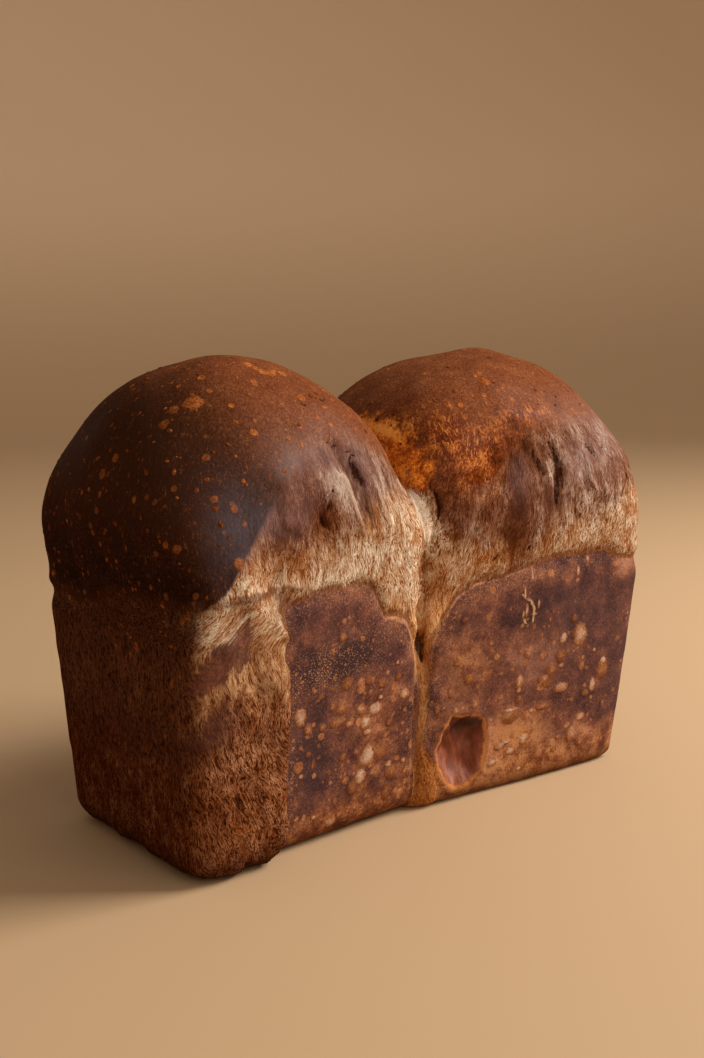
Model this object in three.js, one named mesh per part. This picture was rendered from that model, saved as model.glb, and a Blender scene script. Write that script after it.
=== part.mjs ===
// A loaf of brown butter brioche, baked from two balls of dough in one tapered tin.
// Millimetres, +Z up. X runs along the loaf and the front long side faces -Y.
// The origin is at the centre of the base, which is flat and rests on the table.
//
// The loaf is one solid. A box with many segments is stretched over it: each vertex
// slides out from a point inside the loaf until it meets the surface, which is where
// outside() changes its sign.
import * as THREE from "three";
import { mergeVertices } from "three/addons/utils/BufferGeometryUtils.js";

// Driving dimensions: the tin's inside, which shaped the lower half of the loaf
const TIN_LENGTH = 200;
const TIN_WIDTH = 93.4;
const RIM_HEIGHT = 82;
const SIDE_TAPER = 8.6;
const TIN_SQUARENESS = 11.7;

// The two balls of dough, which met at the cleft and rose over the rim. side is -1 at
// the left end of the loaf and +1 at the right.
const CLEFT_X = -4.8;
const BALLS = [
  {
    side: -1,
    top: 154.2,
    shoulder: 104,
    fullness: 1.87,
    overhang: 2.3,
    endTaper: 4.3,
    footRadius: 8,
    leanX: -3.1,
    leanY: 0.3,
  },
  {
    side: 1,
    top: 152.1,
    shoulder: 101.6,
    fullness: 2.17,
    overhang: 0,
    endTaper: 7,
    footRadius: 4,
    leanX: 0.2,
    leanY: 1.5,
  },
];
const DOME_SQUARENESS = 3.25;
const OVEN_SPRING = 3.1;
const SPRING_HEIGHT = 24;

// The cleft: a line pressed into the wall low down, and a valley higher up
const CLEFT_OVERLAP = { low: 1.6, high: 4 };
const CLEFT_SQUARENESS = 13;
const CLEFT_FILLET = 3;
const WAIST = { depth: 4.1, spread: 45 };

// The highest place of the right dome, where one more bubble pushed it up
const PEAK = { x: 67, y: 4, reach: 14, height: 3.5, fadeFrom: 115, fadeTo: 145 };

// Each half's smooth panel of crust, where the dough lay against the tin, ends in a
// fold. It runs along the rim and turns down into the cleft on a quarter ellipse.
const PANEL = {
  top: 78,
  rise: 5,
  riseFrom: 18,
  riseTo: 50,
  cornerAcross: 28,
  cornerDown: 37,
  gapAtCleft: 1.3,
};
const RIM_FOLD = { depth: 1.3, width: 3.2 };

// Torn crust round the front left corner stands proud of the smooth panel beside it.
// Its edge leans a little: it is edgeX at the base and further left higher up.
const TORN = {
  proud: 6,
  edgeX: -60.5,
  edgeLean: 0.05,
  edgeWidth: 3,
  fadeFrom: 85,
  fadeTo: 115,
  lumps: 0.7,
  span: 17,
};

// The dent low in the front of the right half, with its swollen lip, and the bead of
// dough that was squeezed out at the foot of the cleft
const DENT = { x: 16, z: 20.5, halfWidth: 8.5, halfHeight: 12.5, depth: 4.2, lip: 1.3 };
const BEAD = { x: 3, z: 6, reach: 8, height: 1.6 };

// Creases in the crust. Each runs through its [x, z] places on the front or the back.
const FRONT = -1;
const BACK = 1;
const CREASES = [
  { face: FRONT, depth: 1.8, width: 3, path: [[-42, 126], [-38, 118], [-35, 107]] },
  { face: FRONT, depth: 1.8, width: 3, path: [[-98, 66], [-92, 71], [-85, 82], [-70, 86], [-62, 91]] },
  { face: FRONT, depth: 2.0, width: 3, path: [[45, 122], [50, 108], [47, 101]] },
  { face: FRONT, depth: 1.2, width: 3, path: [[38, 122], [42, 113]] },
  { face: FRONT, depth: 1.4, width: 3, path: [[88, 116], [91, 104]] },
  { face: BACK, depth: 1.8, width: 3, path: [[-70, 120], [-64, 110], [-66, 98]] },
  { face: BACK, depth: 1.6, width: 3, path: [[-30, 112], [-24, 100]] },
  { face: BACK, depth: 1.8, width: 3, path: [[30, 118], [36, 106], [35, 96]] },
  { face: BACK, depth: 1.4, width: 3, path: [[72, 112], [70, 99]] },
];

// Shallow hollows in the domes, where bubbles of gas sank back
const HOLLOWS = [
  { face: FRONT, x: -53, z: 105, reach: 8, depth: 1.6 },
  { face: FRONT, x: 32, z: 114, reach: 15, depth: 2.0 },
  { face: FRONT, x: -12, z: 112, reach: 9, depth: 1.2 },
  { face: BACK, x: -48, z: 112, reach: 13, depth: 1.8 },
  { face: BACK, x: 58, z: 106, reach: 10, depth: 1.5 },
];

// How unevenly the domes rose
const DOME_LUMPS = { height: 0.7, span: 46 };

// How many strips the stretched box has, and how much finer they get at the cleft
const STRIPS = { along: 48, across: 24, up: 24 };
const FINER_AT_CLEFT = 0.45;

const clamp = THREE.MathUtils.clamp;
const mix = THREE.MathUtils.lerp;

// 0 below low, 1 above high and a smooth turn between them
const ease = THREE.MathUtils.smoothstep;

// A hump of height 1 that has died away at about twice its width
function hump(distance, width) {
  return Math.exp(-((distance / width) ** 2));
}

// Joins two lengths: with an exponent of 2 as the sides of a right triangle, and with
// a high one as a square, whose longer side wins
function powerMean(a, b, exponent) {
  return Math.pow(Math.pow(a, exponent) + Math.pow(b, exponent), 1 / exponent);
}

// How far the wall leans in below the rim, and turns in at the base
function wallLean(height, taper, footRadius) {
  const inTin = taper * (1 - clamp(height / RIM_HEIGHT, 0, 1));
  const foot = clamp(footRadius - height, 0, footRadius);
  return inTin + footRadius - Math.sqrt(footRadius ** 2 - foot ** 2);
}

// 1 on the torn crust, 0 on the smooth crust
function tornShare(x, height) {
  const edge = TORN.edgeX - TORN.edgeLean * height;
  const alongLoaf = 1 - ease(x, edge - TORN.edgeWidth, edge);
  return alongLoaf * (1 - ease(height, TORN.fadeFrom, TORN.fadeTo));
}

// Millimetres from a point to the surface of one ball, positive outside. Each level of
// the ball is a rounded rectangle that turns into a circle towards the top, and above
// the shoulder the levels close into a dome.
function outsideBall(point, ball) {
  const height = Math.max(point.z, 0);
  const sprung = ease(height, RIM_HEIGHT, RIM_HEIGHT + SPRING_HEIGHT);
  const lean = ease(height, RIM_HEIGHT, ball.top);

  const outerEnd = (ball.side * TIN_LENGTH) / 2;
  const centreX = (outerEnd + CLEFT_X) / 2 + ball.leanX * lean;
  const halfLength = Math.abs(outerEnd - CLEFT_X) / 2;
  const across = point.x - centreX;
  const deep = point.y - ball.leanY * lean;
  const isOuter = across * ball.side > 0;

  const endLean = wallLean(height, ball.endTaper, ball.footRadius);
  const outerReach = halfLength + ball.overhang * sprung - endLean;
  const overlap = mix(CLEFT_OVERLAP.low, CLEFT_OVERLAP.high, ease(height, 20, 100));
  const reach = isOuter ? outerReach : halfLength + overlap;

  const sideLean = wallLean(height, SIDE_TAPER, ball.footRadius);
  const wall = TIN_WIDTH / 2 + OVEN_SPRING * sprung - sideLean;
  const waist = WAIST.depth * hump(point.x - CLEFT_X, WAIST.spread);
  const torn = point.y < 0 ? TORN.proud * tornShare(point.x, height) : 0;
  const half = wall - waist + torn;

  const squareness = isOuter
    ? mix(TIN_SQUARENESS, DOME_SQUARENESS, ease(height, 60, 135))
    : mix(CLEFT_SQUARENESS, DOME_SQUARENESS, ease(height, 25, 125));
  const level = powerMean(Math.abs(across) / reach, Math.abs(deep) / half, squareness);
  const above = Math.max(height - ball.shoulder, 0);
  const grown = powerMean(level, above / (ball.top - ball.shoulder), ball.fullness);
  const away = Math.hypot(across, deep, above);
  return grown > 0 ? away * (1 - 1 / grown) : -Math.min(reach, half);
}

// The two balls grown together, with a small fillet of dough in the cleft
function outsideBalls(point) {
  const left = outsideBall(point, BALLS[0]);
  const right = outsideBall(point, BALLS[1]);
  const near = clamp(0.5 + (0.5 * (right - left)) / CLEFT_FILLET, 0, 1);
  return mix(right, left, near) - CLEFT_FILLET * near * (1 - near);
}

// Millimetres from the fold that edges a smooth panel: positive above it
function abovePanel(x, height) {
  const fromCleft = Math.abs(x - CLEFT_X) - PANEL.gapAtCleft;
  const turn = clamp(1 - fromCleft / PANEL.cornerAcross, 0, 0.995);
  const upright = Math.sqrt(1 - turn * turn);
  const top = PANEL.top + PANEL.rise * ease(fromCleft, PANEL.riseFrom, PANEL.riseTo);
  const slope = (PANEL.cornerDown * turn) / (PANEL.cornerAcross * upright);
  return (height - top + PANEL.cornerDown * (1 - upright)) / Math.hypot(1, slope);
}

// How much of a crease's depth is left at a place: it thins out towards its two ends
function creaseShare(x, height, crease) {
  let share = 0;
  const last = crease.path.length - 1;
  for (let i = 0; i < last; i++) {
    const [fromX, fromZ] = crease.path[i];
    const [toX, toZ] = crease.path[i + 1];
    const spanSquared = (toX - fromX) ** 2 + (toZ - fromZ) ** 2;
    const travelled = (x - fromX) * (toX - fromX) + (height - fromZ) * (toZ - fromZ);
    const along = clamp(travelled / spanSquared, 0, 1);
    const away = Math.hypot(x - mix(fromX, toX, along), height - mix(fromZ, toZ, along));
    const thinned = Math.sqrt(Math.sin((Math.PI * (i + along + 0.3)) / (last + 0.6)));
    share = Math.max(share, thinned * hump(away, crease.width));
  }
  return share;
}

// The dent and its lip: millimetres outwards, so the dent itself is below zero
function dentRelief(x, height) {
  const away = Math.hypot((x - DENT.x) / DENT.halfWidth, (height - DENT.z) / DENT.halfHeight);
  const bowl = 1 - ease(away, 0.25, 1);
  const lip = hump(away - 1.12, 0.25);
  return DENT.lip * lip - DENT.depth * bowl;
}

// Uneven lumps about a span apart, between -1 and 1
function lumps(point, span) {
  const turn = (2 * Math.PI) / span;
  const { x, y, z } = point;
  const first = Math.sin(turn * (x + 0.4 * z) + 1.7 * Math.sin(turn * 0.6 * (y - 0.5 * x)));
  const second = Math.sin(turn * (z - 0.3 * x + 0.8 * y) + 1.3 * Math.sin(turn * 0.5 * (z + y) + 2));
  return 0.5 * (first + second);
}

// Millimetres that folds, creases, hollows and lumps add to the plain form
function relief(point) {
  const { x, y, z } = point;
  const face = y < 0 ? FRONT : BACK;
  let rise = -RIM_FOLD.depth * hump(abovePanel(x, z), RIM_FOLD.width);
  for (const crease of CREASES) {
    if (crease.face === face) rise -= crease.depth * creaseShare(x, z, crease);
  }
  for (const hollow of HOLLOWS) {
    const away = Math.hypot(x - hollow.x, z - hollow.z);
    if (hollow.face === face) rise -= hollow.depth * hump(away, hollow.reach);
  }
  if (face === FRONT) {
    rise += dentRelief(x, z);
    rise += BEAD.height * hump(Math.hypot(x - BEAD.x, z - BEAD.z), BEAD.reach);
  }
  rise += TORN.lumps * tornShare(x, z) * lumps(point, TORN.span);
  rise += DOME_LUMPS.height * ease(z, RIM_HEIGHT, RIM_HEIGHT + SPRING_HEIGHT) * lumps(point, DOME_LUMPS.span);
  const fromPeak = Math.hypot(x - PEAK.x, y - PEAK.y);
  rise += PEAK.height * hump(fromPeak, PEAK.reach) * ease(z, PEAK.fadeFrom, PEAK.fadeTo);
  return rise;
}

// Millimetres from a point to the loaf's surface, positive outside
function outside(point) {
  return Math.max(outsideBalls(point) - relief(point), -point.z);
}

// Slides a vertex of the box out along its own ray until it meets the surface. The
// rays start on a line inside the loaf, or at its two ends, where they fan out. Rays
// that point down are steepened, so that the box's lower corners reach the loaf's.
const CORE_HALF_LENGTH = 55;
const CORE_HEIGHT = 62;
const CORE_SHARE = 0.55;
const FARTHEST = 170;
const HALVINGS = 40;
function onSurface(along, across, up) {
  const evened = Math.sign(along) * Math.pow(Math.abs(along), 1 + FINER_AT_CLEFT * (1 - Math.abs(along)));
  const reach = Math.abs(evened);
  const onCore = Math.min(reach / CORE_SHARE, 1);
  const turn = Math.sign(evened) * clamp((reach - CORE_SHARE) / (1 - CORE_SHARE), 0, 1);
  const startX = Math.sign(evened) * onCore * CORE_HALF_LENGTH + CLEFT_X * (1 - onCore);
  const start = new THREE.Vector3(startX, 0, CORE_HEIGHT);
  const steepen = up < 0 ? CORE_HEIGHT / (TIN_WIDTH / 2 - SIDE_TAPER) : 1;
  const ray = new THREE.Vector3(
    Math.tan((turn * Math.PI) / 4),
    Math.tan((across * Math.PI) / 4),
    Math.tan((up * Math.PI) / 4) * steepen,
  ).normalize();
  let inside = 0;
  let beyond = FARTHEST;
  const probe = new THREE.Vector3();
  for (let step = 0; step < HALVINGS; step++) {
    const tried = (inside + beyond) / 2;
    probe.copy(start).addScaledVector(ray, tried);
    if (outside(probe) > 0) beyond = tried;
    else inside = tried;
  }
  return probe;
}

// The stretched box, moved so that the origin is below the middle of its bounding box
function loafGeometry() {
  const { along, across, up } = STRIPS;
  const box = new THREE.BoxGeometry(2, 2, 2, along, across, up);
  box.deleteAttribute("normal");
  box.deleteAttribute("uv");
  const skin = mergeVertices(box, 1e-4);
  const places = skin.getAttribute("position");
  for (let i = 0; i < places.count; i++) {
    const place = onSurface(places.getX(i), places.getY(i), places.getZ(i));
    places.setXYZ(i, place.x, place.y, place.z);
  }
  skin.computeBoundingBox();
  const middle = skin.boundingBox.getCenter(new THREE.Vector3());
  skin.translate(-middle.x, -middle.y, -skin.boundingBox.min.z);
  skin.computeVertexNormals();
  return skin;
}

const crust = new THREE.MeshStandardMaterial({
  name: "crust",
  color: new THREE.Color(0.2, 0.075, 0.03),
  roughness: 0.5,
  metalness: 0,
});

const loaf = new THREE.Mesh(loafGeometry(), crust);
loaf.name = "brioche_loaf";

const part = new THREE.Group();
part.add(loaf);
export default part;
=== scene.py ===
# %% [markdown]
# # A loaf of brown butter brioche
#
# Two balls of enriched dough rose side by side in one tin and grew over its rim. The
# script loads the plain solid as the frame, makes the same form again at a much finer
# grain, and then gives the crust its fibres, bubbles, folds and colours.

import math

import bmesh
import bpy
import numpy as np
from mathutils import Matrix, Vector


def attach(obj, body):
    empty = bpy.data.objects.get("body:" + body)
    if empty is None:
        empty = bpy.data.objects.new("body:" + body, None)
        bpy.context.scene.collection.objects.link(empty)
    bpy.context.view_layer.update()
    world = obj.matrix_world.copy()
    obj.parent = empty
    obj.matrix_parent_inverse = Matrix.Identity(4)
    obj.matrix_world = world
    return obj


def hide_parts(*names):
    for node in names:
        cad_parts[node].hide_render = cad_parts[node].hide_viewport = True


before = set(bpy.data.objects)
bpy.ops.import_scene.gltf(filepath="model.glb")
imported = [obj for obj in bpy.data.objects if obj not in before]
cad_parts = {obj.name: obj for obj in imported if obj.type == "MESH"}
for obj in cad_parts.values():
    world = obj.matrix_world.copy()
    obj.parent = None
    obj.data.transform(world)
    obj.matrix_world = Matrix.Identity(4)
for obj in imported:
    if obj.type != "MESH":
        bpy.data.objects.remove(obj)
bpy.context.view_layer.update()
LOAF = "brioche_loaf"
MM = 0.001


def in_scene(name, data):
    """An object in the scene, at the origin, that shows a mesh, a light or a camera."""
    made = bpy.data.objects.new(name, data)
    bpy.context.scene.collection.objects.link(made)
    return made


# %% [markdown]
# ## The form of the loaf
#
# The lower half is a cast of the tin, so it is measured as a tin: length, width, height
# of the rim and how far the sides taper. Each ball of dough has a top, a shoulder above
# which it closes into a dome, and a lean. The sizes are the ones that the solid was
# built from. Sculpting the loaf by hand would look the same, but named sizes can be
# changed later and keep the fine loaf and the plain solid alike.

# %% Sizes of the tin and of the two balls of dough, in millimetres
TIN_LENGTH, TIN_WIDTH, RIM_HEIGHT = 200.0, 93.4, 82.0
SIDE_TAPER, TIN_SQUARENESS = 8.6, 11.7
CLEFT_X = -4.8
LEFT_BALL = dict(side=-1, top=154.2, shoulder=104.0, fullness=1.87, overhang=2.3,
                 end_taper=4.3, foot=8.0, lean_x=-3.1, lean_y=0.3)
RIGHT_BALL = dict(side=1, top=152.1, shoulder=101.6, fullness=2.17, overhang=0.0,
                  end_taper=7.0, foot=4.0, lean_x=0.2, lean_y=1.5)
DOME_SQUARENESS, CLEFT_SQUARENESS, CLEFT_FILLET = 3.25, 13.0, 3.0
OVEN_SPRING, SPRING_HEIGHT = 3.1, 24.0
OVERLAP_LOW, OVERLAP_HIGH = 1.6, 4.0
WAIST_DEPTH, WAIST_SPREAD = 4.1, 45.0
TORN_PROUD, TORN_EDGE, TORN_LEAN, TORN_STEP = 6.0, -60.5, 0.05, 3.0
TONGUE_PROUD = 5.6
NOWHERE = 99.0

# %% Small helpers that work on whole arrays of points
def ease(value, low, high):
    """0 below low, 1 above high and a smooth turn between them."""
    share = np.clip((value - low) / (high - low), 0, 1)
    return share * share * (3 - 2 * share)


def mix(first, second, share):
    return first + (second - first) * share


def hump(distance, width):
    """A hump of height 1 that has died away at about twice its width."""
    return np.exp(-((distance / width) ** 2))


def spot(x, z, at_x, at_z, half_width, half_height):
    """A hump with its own width and height around one place of a face."""
    return hump(np.hypot((x - at_x) / half_width, (z - at_z) / half_height), 1.0)


def power_mean(first, second, exponent):
    """With 2 the long side of a right triangle, and with a high exponent a square."""
    return (first ** exponent + second ** exponent) ** (1 / exponent)


# %% [markdown]
# ## Two balls of dough in one tin
#
# The surface is where a function of the place changes its sign. Each level of a ball is
# a rounded rectangle that turns into a circle towards the top, and above the shoulder
# the levels close into a dome. The two balls are joined with a smooth minimum, which
# leaves a small fillet of dough in the cleft, as where two balls grow together.

# %% Distance to the surface of the two balls
def wall_lean(height, taper, foot_radius):
    """How far the wall leans in below the rim and turns in at the base."""
    in_tin = taper * (1 - np.clip(height / RIM_HEIGHT, 0, 1))
    foot = np.clip(foot_radius - height, 0, foot_radius)
    return in_tin + foot_radius - np.sqrt(foot_radius ** 2 - foot ** 2)


def torn_edge(height):
    """Where the torn corner crust ends and the smooth panel of the left half starts."""
    wobble = 0.7 * np.sin(0.17 * height) + 0.25 * np.sin(0.61 * height + 1)
    return TORN_EDGE - TORN_LEAN * height + wobble


def torn_share(x, height):
    """1 on the torn corner, which stands proud of the tin's wall, and 0 past its edge."""
    foot = 1 - ease(height, 0, 15)
    edge = torn_edge(height) - 2.5 * foot
    step = TORN_STEP + 16 * ease(height, 72, 88) + 4 * foot
    return (1 - ease(x, edge - step, edge)) * (1 - ease(height, 85, 115))


def outside_ball(x, y, z, ball):
    """About how far a place is outside one ball of dough, and below 0 inside it."""
    height = np.maximum(z, 0)
    sprung = ease(height, RIM_HEIGHT, RIM_HEIGHT + SPRING_HEIGHT)
    lean = ease(height, RIM_HEIGHT, ball["top"])
    outer_end = ball["side"] * TIN_LENGTH / 2
    half_length = abs(outer_end - CLEFT_X) / 2
    across = x - (outer_end + CLEFT_X) / 2 - ball["lean_x"] * lean
    deep = y - ball["lean_y"] * lean
    outer = across * ball["side"] > 0

    end_lean = wall_lean(height, ball["end_taper"], ball["foot"])
    outer_reach = half_length + ball["overhang"] * sprung - end_lean
    inner_reach = half_length + mix(OVERLAP_LOW, OVERLAP_HIGH, ease(height, 20, 100))
    reach = np.where(outer, outer_reach, inner_reach)

    wall = TIN_WIDTH / 2 + OVEN_SPRING * sprung - wall_lean(height, SIDE_TAPER, ball["foot"])
    waist = WAIST_DEPTH * hump(x - CLEFT_X, WAIST_SPREAD)
    half_width = wall - waist + TORN_PROUD * torn_share(x, height) * (y < 0)

    outer_square = mix(TIN_SQUARENESS, DOME_SQUARENESS, ease(height, 60, 135))
    inner_square = mix(CLEFT_SQUARENESS, DOME_SQUARENESS, ease(height, 25, 125))
    square = np.where(outer, outer_square, inner_square)
    level = power_mean(np.abs(across) / reach, np.abs(deep) / half_width, square)
    above = np.maximum(height - ball["shoulder"], 0)
    grown = power_mean(level, above / (ball["top"] - ball["shoulder"]), ball["fullness"])
    away = np.sqrt(across ** 2 + deep ** 2 + above ** 2)
    at_axis = -np.minimum(reach, half_width)
    return np.where(grown > 1e-9, away * (1 - 1 / np.maximum(grown, 1e-9)), at_axis)


def tongue_share(x, y, z):
    """1 on the thin tongue of the left ball that stretched over the cleft."""
    right_edge = np.interp(z, [87, 93, 98, 104, 107, 110], [-5.0, -2.4, -1.2, -1.4, -2.4, -3.8])
    filled = np.interp(x, [-16, -8, -5, -1, 1, 3], [0.0, 0.2, 0.41, 0.71, 1.0, 1.16])
    across = filled * (1 - ease(x - right_edge, -0.3, 1.0))
    return across * ease(z, 82, 95) * (1 - ease(z, 105, 114)) * ease(-y, 20, 30)


def outside_balls(x, y, z):
    """The same for both balls together, with a tongue of dough and a fillet in the cleft."""
    left = outside_ball(x, y, z, LEFT_BALL) - TONGUE_PROUD * tongue_share(x, y, z)
    right = outside_ball(x, y, z, RIGHT_BALL)
    near = np.clip(0.5 + 0.5 * (right - left) / CLEFT_FILLET, 0, 1)
    return mix(right, left, near) - CLEFT_FILLET * near * (1 - near)


# %% [markdown]
# ## Folds, creases and the dent
#
# Where dough lay against the tin it baked into a smooth panel, which ends in a fold at
# the rim. Above it the crust tore and stretched. A gas bubble sank back low in the right
# half and left a dent. Each of these is a hump or a groove that is added to the distance.

# %% Places of the folds, creases, hollows and the dent
PANEL_TOP, PANEL_RISE, PANEL_GAP = 78.0, 5.0, 1.3
CORNER_ACROSS, CORNER_DOWN = 28.0, 37.0
FOLD_DEPTH, FOLD_WIDTH, CREASE_WIDTH = 1.3, 3.2, 3.0
TORN_LUMPS, DOME_LUMPS = 17, 46
BEAD_X, BEAD_Z, BEAD_REACH, BEAD_PROUD = 3, 6, 8, 1.6
CROWN_X, CROWN_Y, CROWN_REACH, CROWN_PROUD = 67, 4, 14, 3.5
DENT_DEPTH, DENT_SLOPE = 4.2, 5.5
LIP_PROUD, LIP_AWAY, LIP_WIDTH = 1.0, 1.4, 1.6
DENT = [
    (9.4, 32.4), (12.5, 30.6), (16.5, 30.2), (20.5, 29.8), (23.3, 27.0), (24.6, 21.0), (24.2, 14.0),
    (21.5, 8.0), (17.0, 4.6), (11.4, 5.2), (6.4, 9.5), (3.6, 15.0), (3.2, 20.2), (5.6, 25.8),
    (7.6, 29.6),
]
FRONT, BACK = -1, 1
CREASES = [
    (FRONT, 1.8, [(-42, 126), (-38, 118), (-35, 107)]),
    (FRONT, 0.8, [(-98, 66), (-92, 71), (-85, 82), (-70, 86), (-62, 91)]),
    (FRONT, 1.4, [(45, 122), (50, 108), (47, 101)]),
    (FRONT, 1.2, [(38, 122), (42, 113)]),
    (FRONT, 1.4, [(88, 116), (91, 104)]),
    (BACK, 1.8, [(-70, 120), (-64, 110), (-66, 98)]),
    (BACK, 1.6, [(-30, 112), (-24, 100)]),
    (BACK, 1.8, [(30, 118), (36, 106), (35, 96)]),
    (BACK, 1.4, [(72, 112), (70, 99)]),
]
HOLLOWS = [
    (FRONT, -53, 105, 8, 1.6), (FRONT, 32, 114, 15, 2.0), (FRONT, -12, 112, 9, 1.2),
    (BACK, -48, 112, 13, 1.8), (BACK, 58, 106, 10, 1.5),
]
EDGE_WANDER = [
    (-66, -1), (-59, -2), (-50, 0.5), (-42, 2), (-34, 3.7), (-29, 3.7), (-26, 0.5), (-23, -4),
    (-18, -1), (-12, 4), (-8, 2.5), (-5, 0), (4, 0), (8, 2), (17, 0.4), (27, -1.7), (40, -2.4),
    (53, -1), (76, -1), (85, -5), (100, -7),
]


def along_edge(places, stops):
    """Follows an edge that is given as stops of (place, value)."""
    return np.interp(places, *zip(*stops))


def turned_half(x, y):
    """The back wears the front's pattern turned half round, as nobody has seen it."""
    return np.where(y < 0, x, 2 * CLEFT_X - x)


def edge_wander(x, y):
    """Millimetres that the top edge of a panel strays up or down."""
    wander_front = along_edge(x, EDGE_WANDER)
    return mix(wander_front, along_edge(2 * CLEFT_X - x, EDGE_WANDER), ease(y, -12, 12))


def above_panel(x, z):
    """Millimetres from the fold that edges a smooth panel: positive above it."""
    from_cleft = np.abs(x - CLEFT_X) - PANEL_GAP
    turn = np.clip(1 - from_cleft / CORNER_ACROSS, 0, 0.995)
    upright = np.sqrt(1 - turn * turn)
    top = PANEL_TOP + PANEL_RISE * ease(from_cleft, 18, 50)
    slope = CORNER_DOWN * turn / (CORNER_ACROSS * upright)
    return (z - top + CORNER_DOWN * (1 - upright)) / np.hypot(1, slope)


def along_path(x, z, path):
    """For each straight stretch of a path: how many stretches are passed, and the distance."""
    for i, ((ax, az), (bx, bz)) in enumerate(zip(path, path[1:])):
        travelled = (x - ax) * (bx - ax) + (z - az) * (bz - az)
        along = np.clip(travelled / ((bx - ax) ** 2 + (bz - az) ** 2), 0, 1)
        yield i + along, np.hypot(x - mix(ax, bx, along), z - mix(az, bz, along))


def crease_share(x, z, path, width):
    """1 in the middle of a crease, thinning out towards its two ends."""
    share = np.zeros_like(x)
    last = len(path) - 1
    for passed, away in along_path(x, z, path):
        thinned = np.sqrt(np.sin(np.pi * (passed + 0.3) / (last + 0.6)))
        share = np.maximum(share, thinned * hump(away, width))
    return share


def strongest(x, z, creases, wider_by=0.0):
    """The strongest of several creases at each place, given as (half width, path)."""
    share = np.zeros_like(x)
    for half_width, path in creases:
        share = np.maximum(share, crease_share(x, z, path, half_width + wider_by))
    return share


def lumps(x, y, z, span):
    """Uneven lumps about a span apart, between -1 and 1."""
    turn = 2 * np.pi / span
    first = np.sin(turn * (x + 0.4 * z) + 1.7 * np.sin(turn * 0.6 * (y - 0.5 * x)))
    second = np.sin(turn * (z - 0.3 * x + 0.8 * y) + 1.3 * np.sin(turn * 0.5 * (z + y) + 2))
    return 0.5 * (first + second)


def from_path(x, z, path):
    """Distance in millimetres to a row of points joined by straight lines."""
    nearest = np.full_like(x, NOWHERE)
    for _, away in along_path(x, z, path):
        nearest = np.minimum(nearest, away)
    return nearest


def from_outline(x, z, outline):
    """Distance to a closed outline, below 0 inside it."""
    inside = np.zeros(len(x), bool)
    for (ax, az), (bx, bz) in zip(outline, outline[1:] + outline[:1]):
        crosses = (az > z) != (bz > z)
        inside ^= crosses & (x < ax + (z - az) / (bz - az + 1e-9) * (bx - ax))
    return np.where(inside, -1, 1) * from_path(x, z, outline + outline[:1])


def relief(x, y, z):
    """Millimetres that folds, creases, hollows and lumps add to the plain form."""
    front = y < 0
    rise = -FOLD_DEPTH * hump(above_panel(x, z - edge_wander(x, y)), FOLD_WIDTH)
    for face, depth, path in CREASES:
        rise = rise - depth * crease_share(x, z, path, CREASE_WIDTH) * (front == (face == FRONT))
    for face, at_x, at_z, reach, depth in HOLLOWS:
        sunk = depth * hump(np.hypot(x - at_x, z - at_z), reach)
        rise = rise - sunk * (front == (face == FRONT))

    near_dent = front & (x > -6) & (x < 34) & (z < 42)
    away = np.where(near_dent, from_outline(x, z, DENT), NOWHERE)
    rise = rise + LIP_PROUD * hump(away - LIP_AWAY, LIP_WIDTH)
    rise = rise - DENT_DEPTH * (1 - ease(away, -DENT_SLOPE, 0))

    rise = rise + front * BEAD_PROUD * hump(np.hypot(x - BEAD_X, z - BEAD_Z), BEAD_REACH)
    uneven = 0.2 + 0.5 * ease(x, -98, -88)
    rise = rise + uneven * torn_share(x, z) * lumps(x, y, z, TORN_LUMPS)
    sprung = ease(z, RIM_HEIGHT, RIM_HEIGHT + SPRING_HEIGHT)
    rise = rise + 0.7 * sprung * lumps(x, y, z, DOME_LUMPS)
    crown = hump(np.hypot(x - CROWN_X, y - CROWN_Y), CROWN_REACH)
    return rise + CROWN_PROUD * crown * ease(z, 115, 145)


def outside(places):
    """About how far places are outside the whole loaf, which is cut off flat at its base."""
    x, y, z = places.T
    return np.maximum(outside_balls(x, y, z) - relief(x, y, z), -z)


# %% [markdown]
# ## Stretch a finely divided box over the form
#
# A box gives an even net of four-sided faces without poles. Every corner of the net
# slides out along its own ray from a line inside the loaf until it meets the surface,
# which a search by halves finds for all corners at once. A voxel remesh would also
# cover the form, but its faces wouldn't follow the cleft and the rim.

# %% The net of a box
def box_net(along, across, up):
    """Corners of a box's skin from -1 to 1, and the four corners of each face."""
    counts = np.array([along, across, up])
    faces = []
    for axis in range(3):
        first, second = (axis + 1) % 3, (axis + 2) % 3
        i, j = np.meshgrid(np.arange(counts[first]), np.arange(counts[second]), indexing="ij")
        for end in (0, 1):
            ring = [(0, 0), (1, 0), (1, 1), (0, 1)]
            if end == 0:
                ring = ring[::-1]
            corners = []
            for step_i, step_j in ring:
                place = np.zeros(i.shape + (3,), int)
                place[..., axis] = end * counts[axis]
                place[..., first] = i + step_i
                place[..., second] = j + step_j
                corners.append(place.reshape(-1, 3))
            faces.append(np.stack(corners, 1))
    faces = np.concatenate(faces)
    size = counts + 1
    keys = (faces[..., 0] * size[1] + faces[..., 1]) * size[2] + faces[..., 2]
    kept, numbered = np.unique(keys.ravel(), return_inverse=True)
    lattice = np.stack([kept // (size[1] * size[2]), kept // size[2] % size[1], kept % size[2]], 1)
    return 2.0 * lattice / counts - 1, numbered.reshape(keys.shape)


# %% Slide the net's corners onto the surface
CORE_HALF_LENGTH, CORE_HEIGHT, CORE_SHARE, FINER_AT_CLEFT = 55.0, 62.0, 0.55, 0.45
FARTHEST = 170.0


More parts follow.
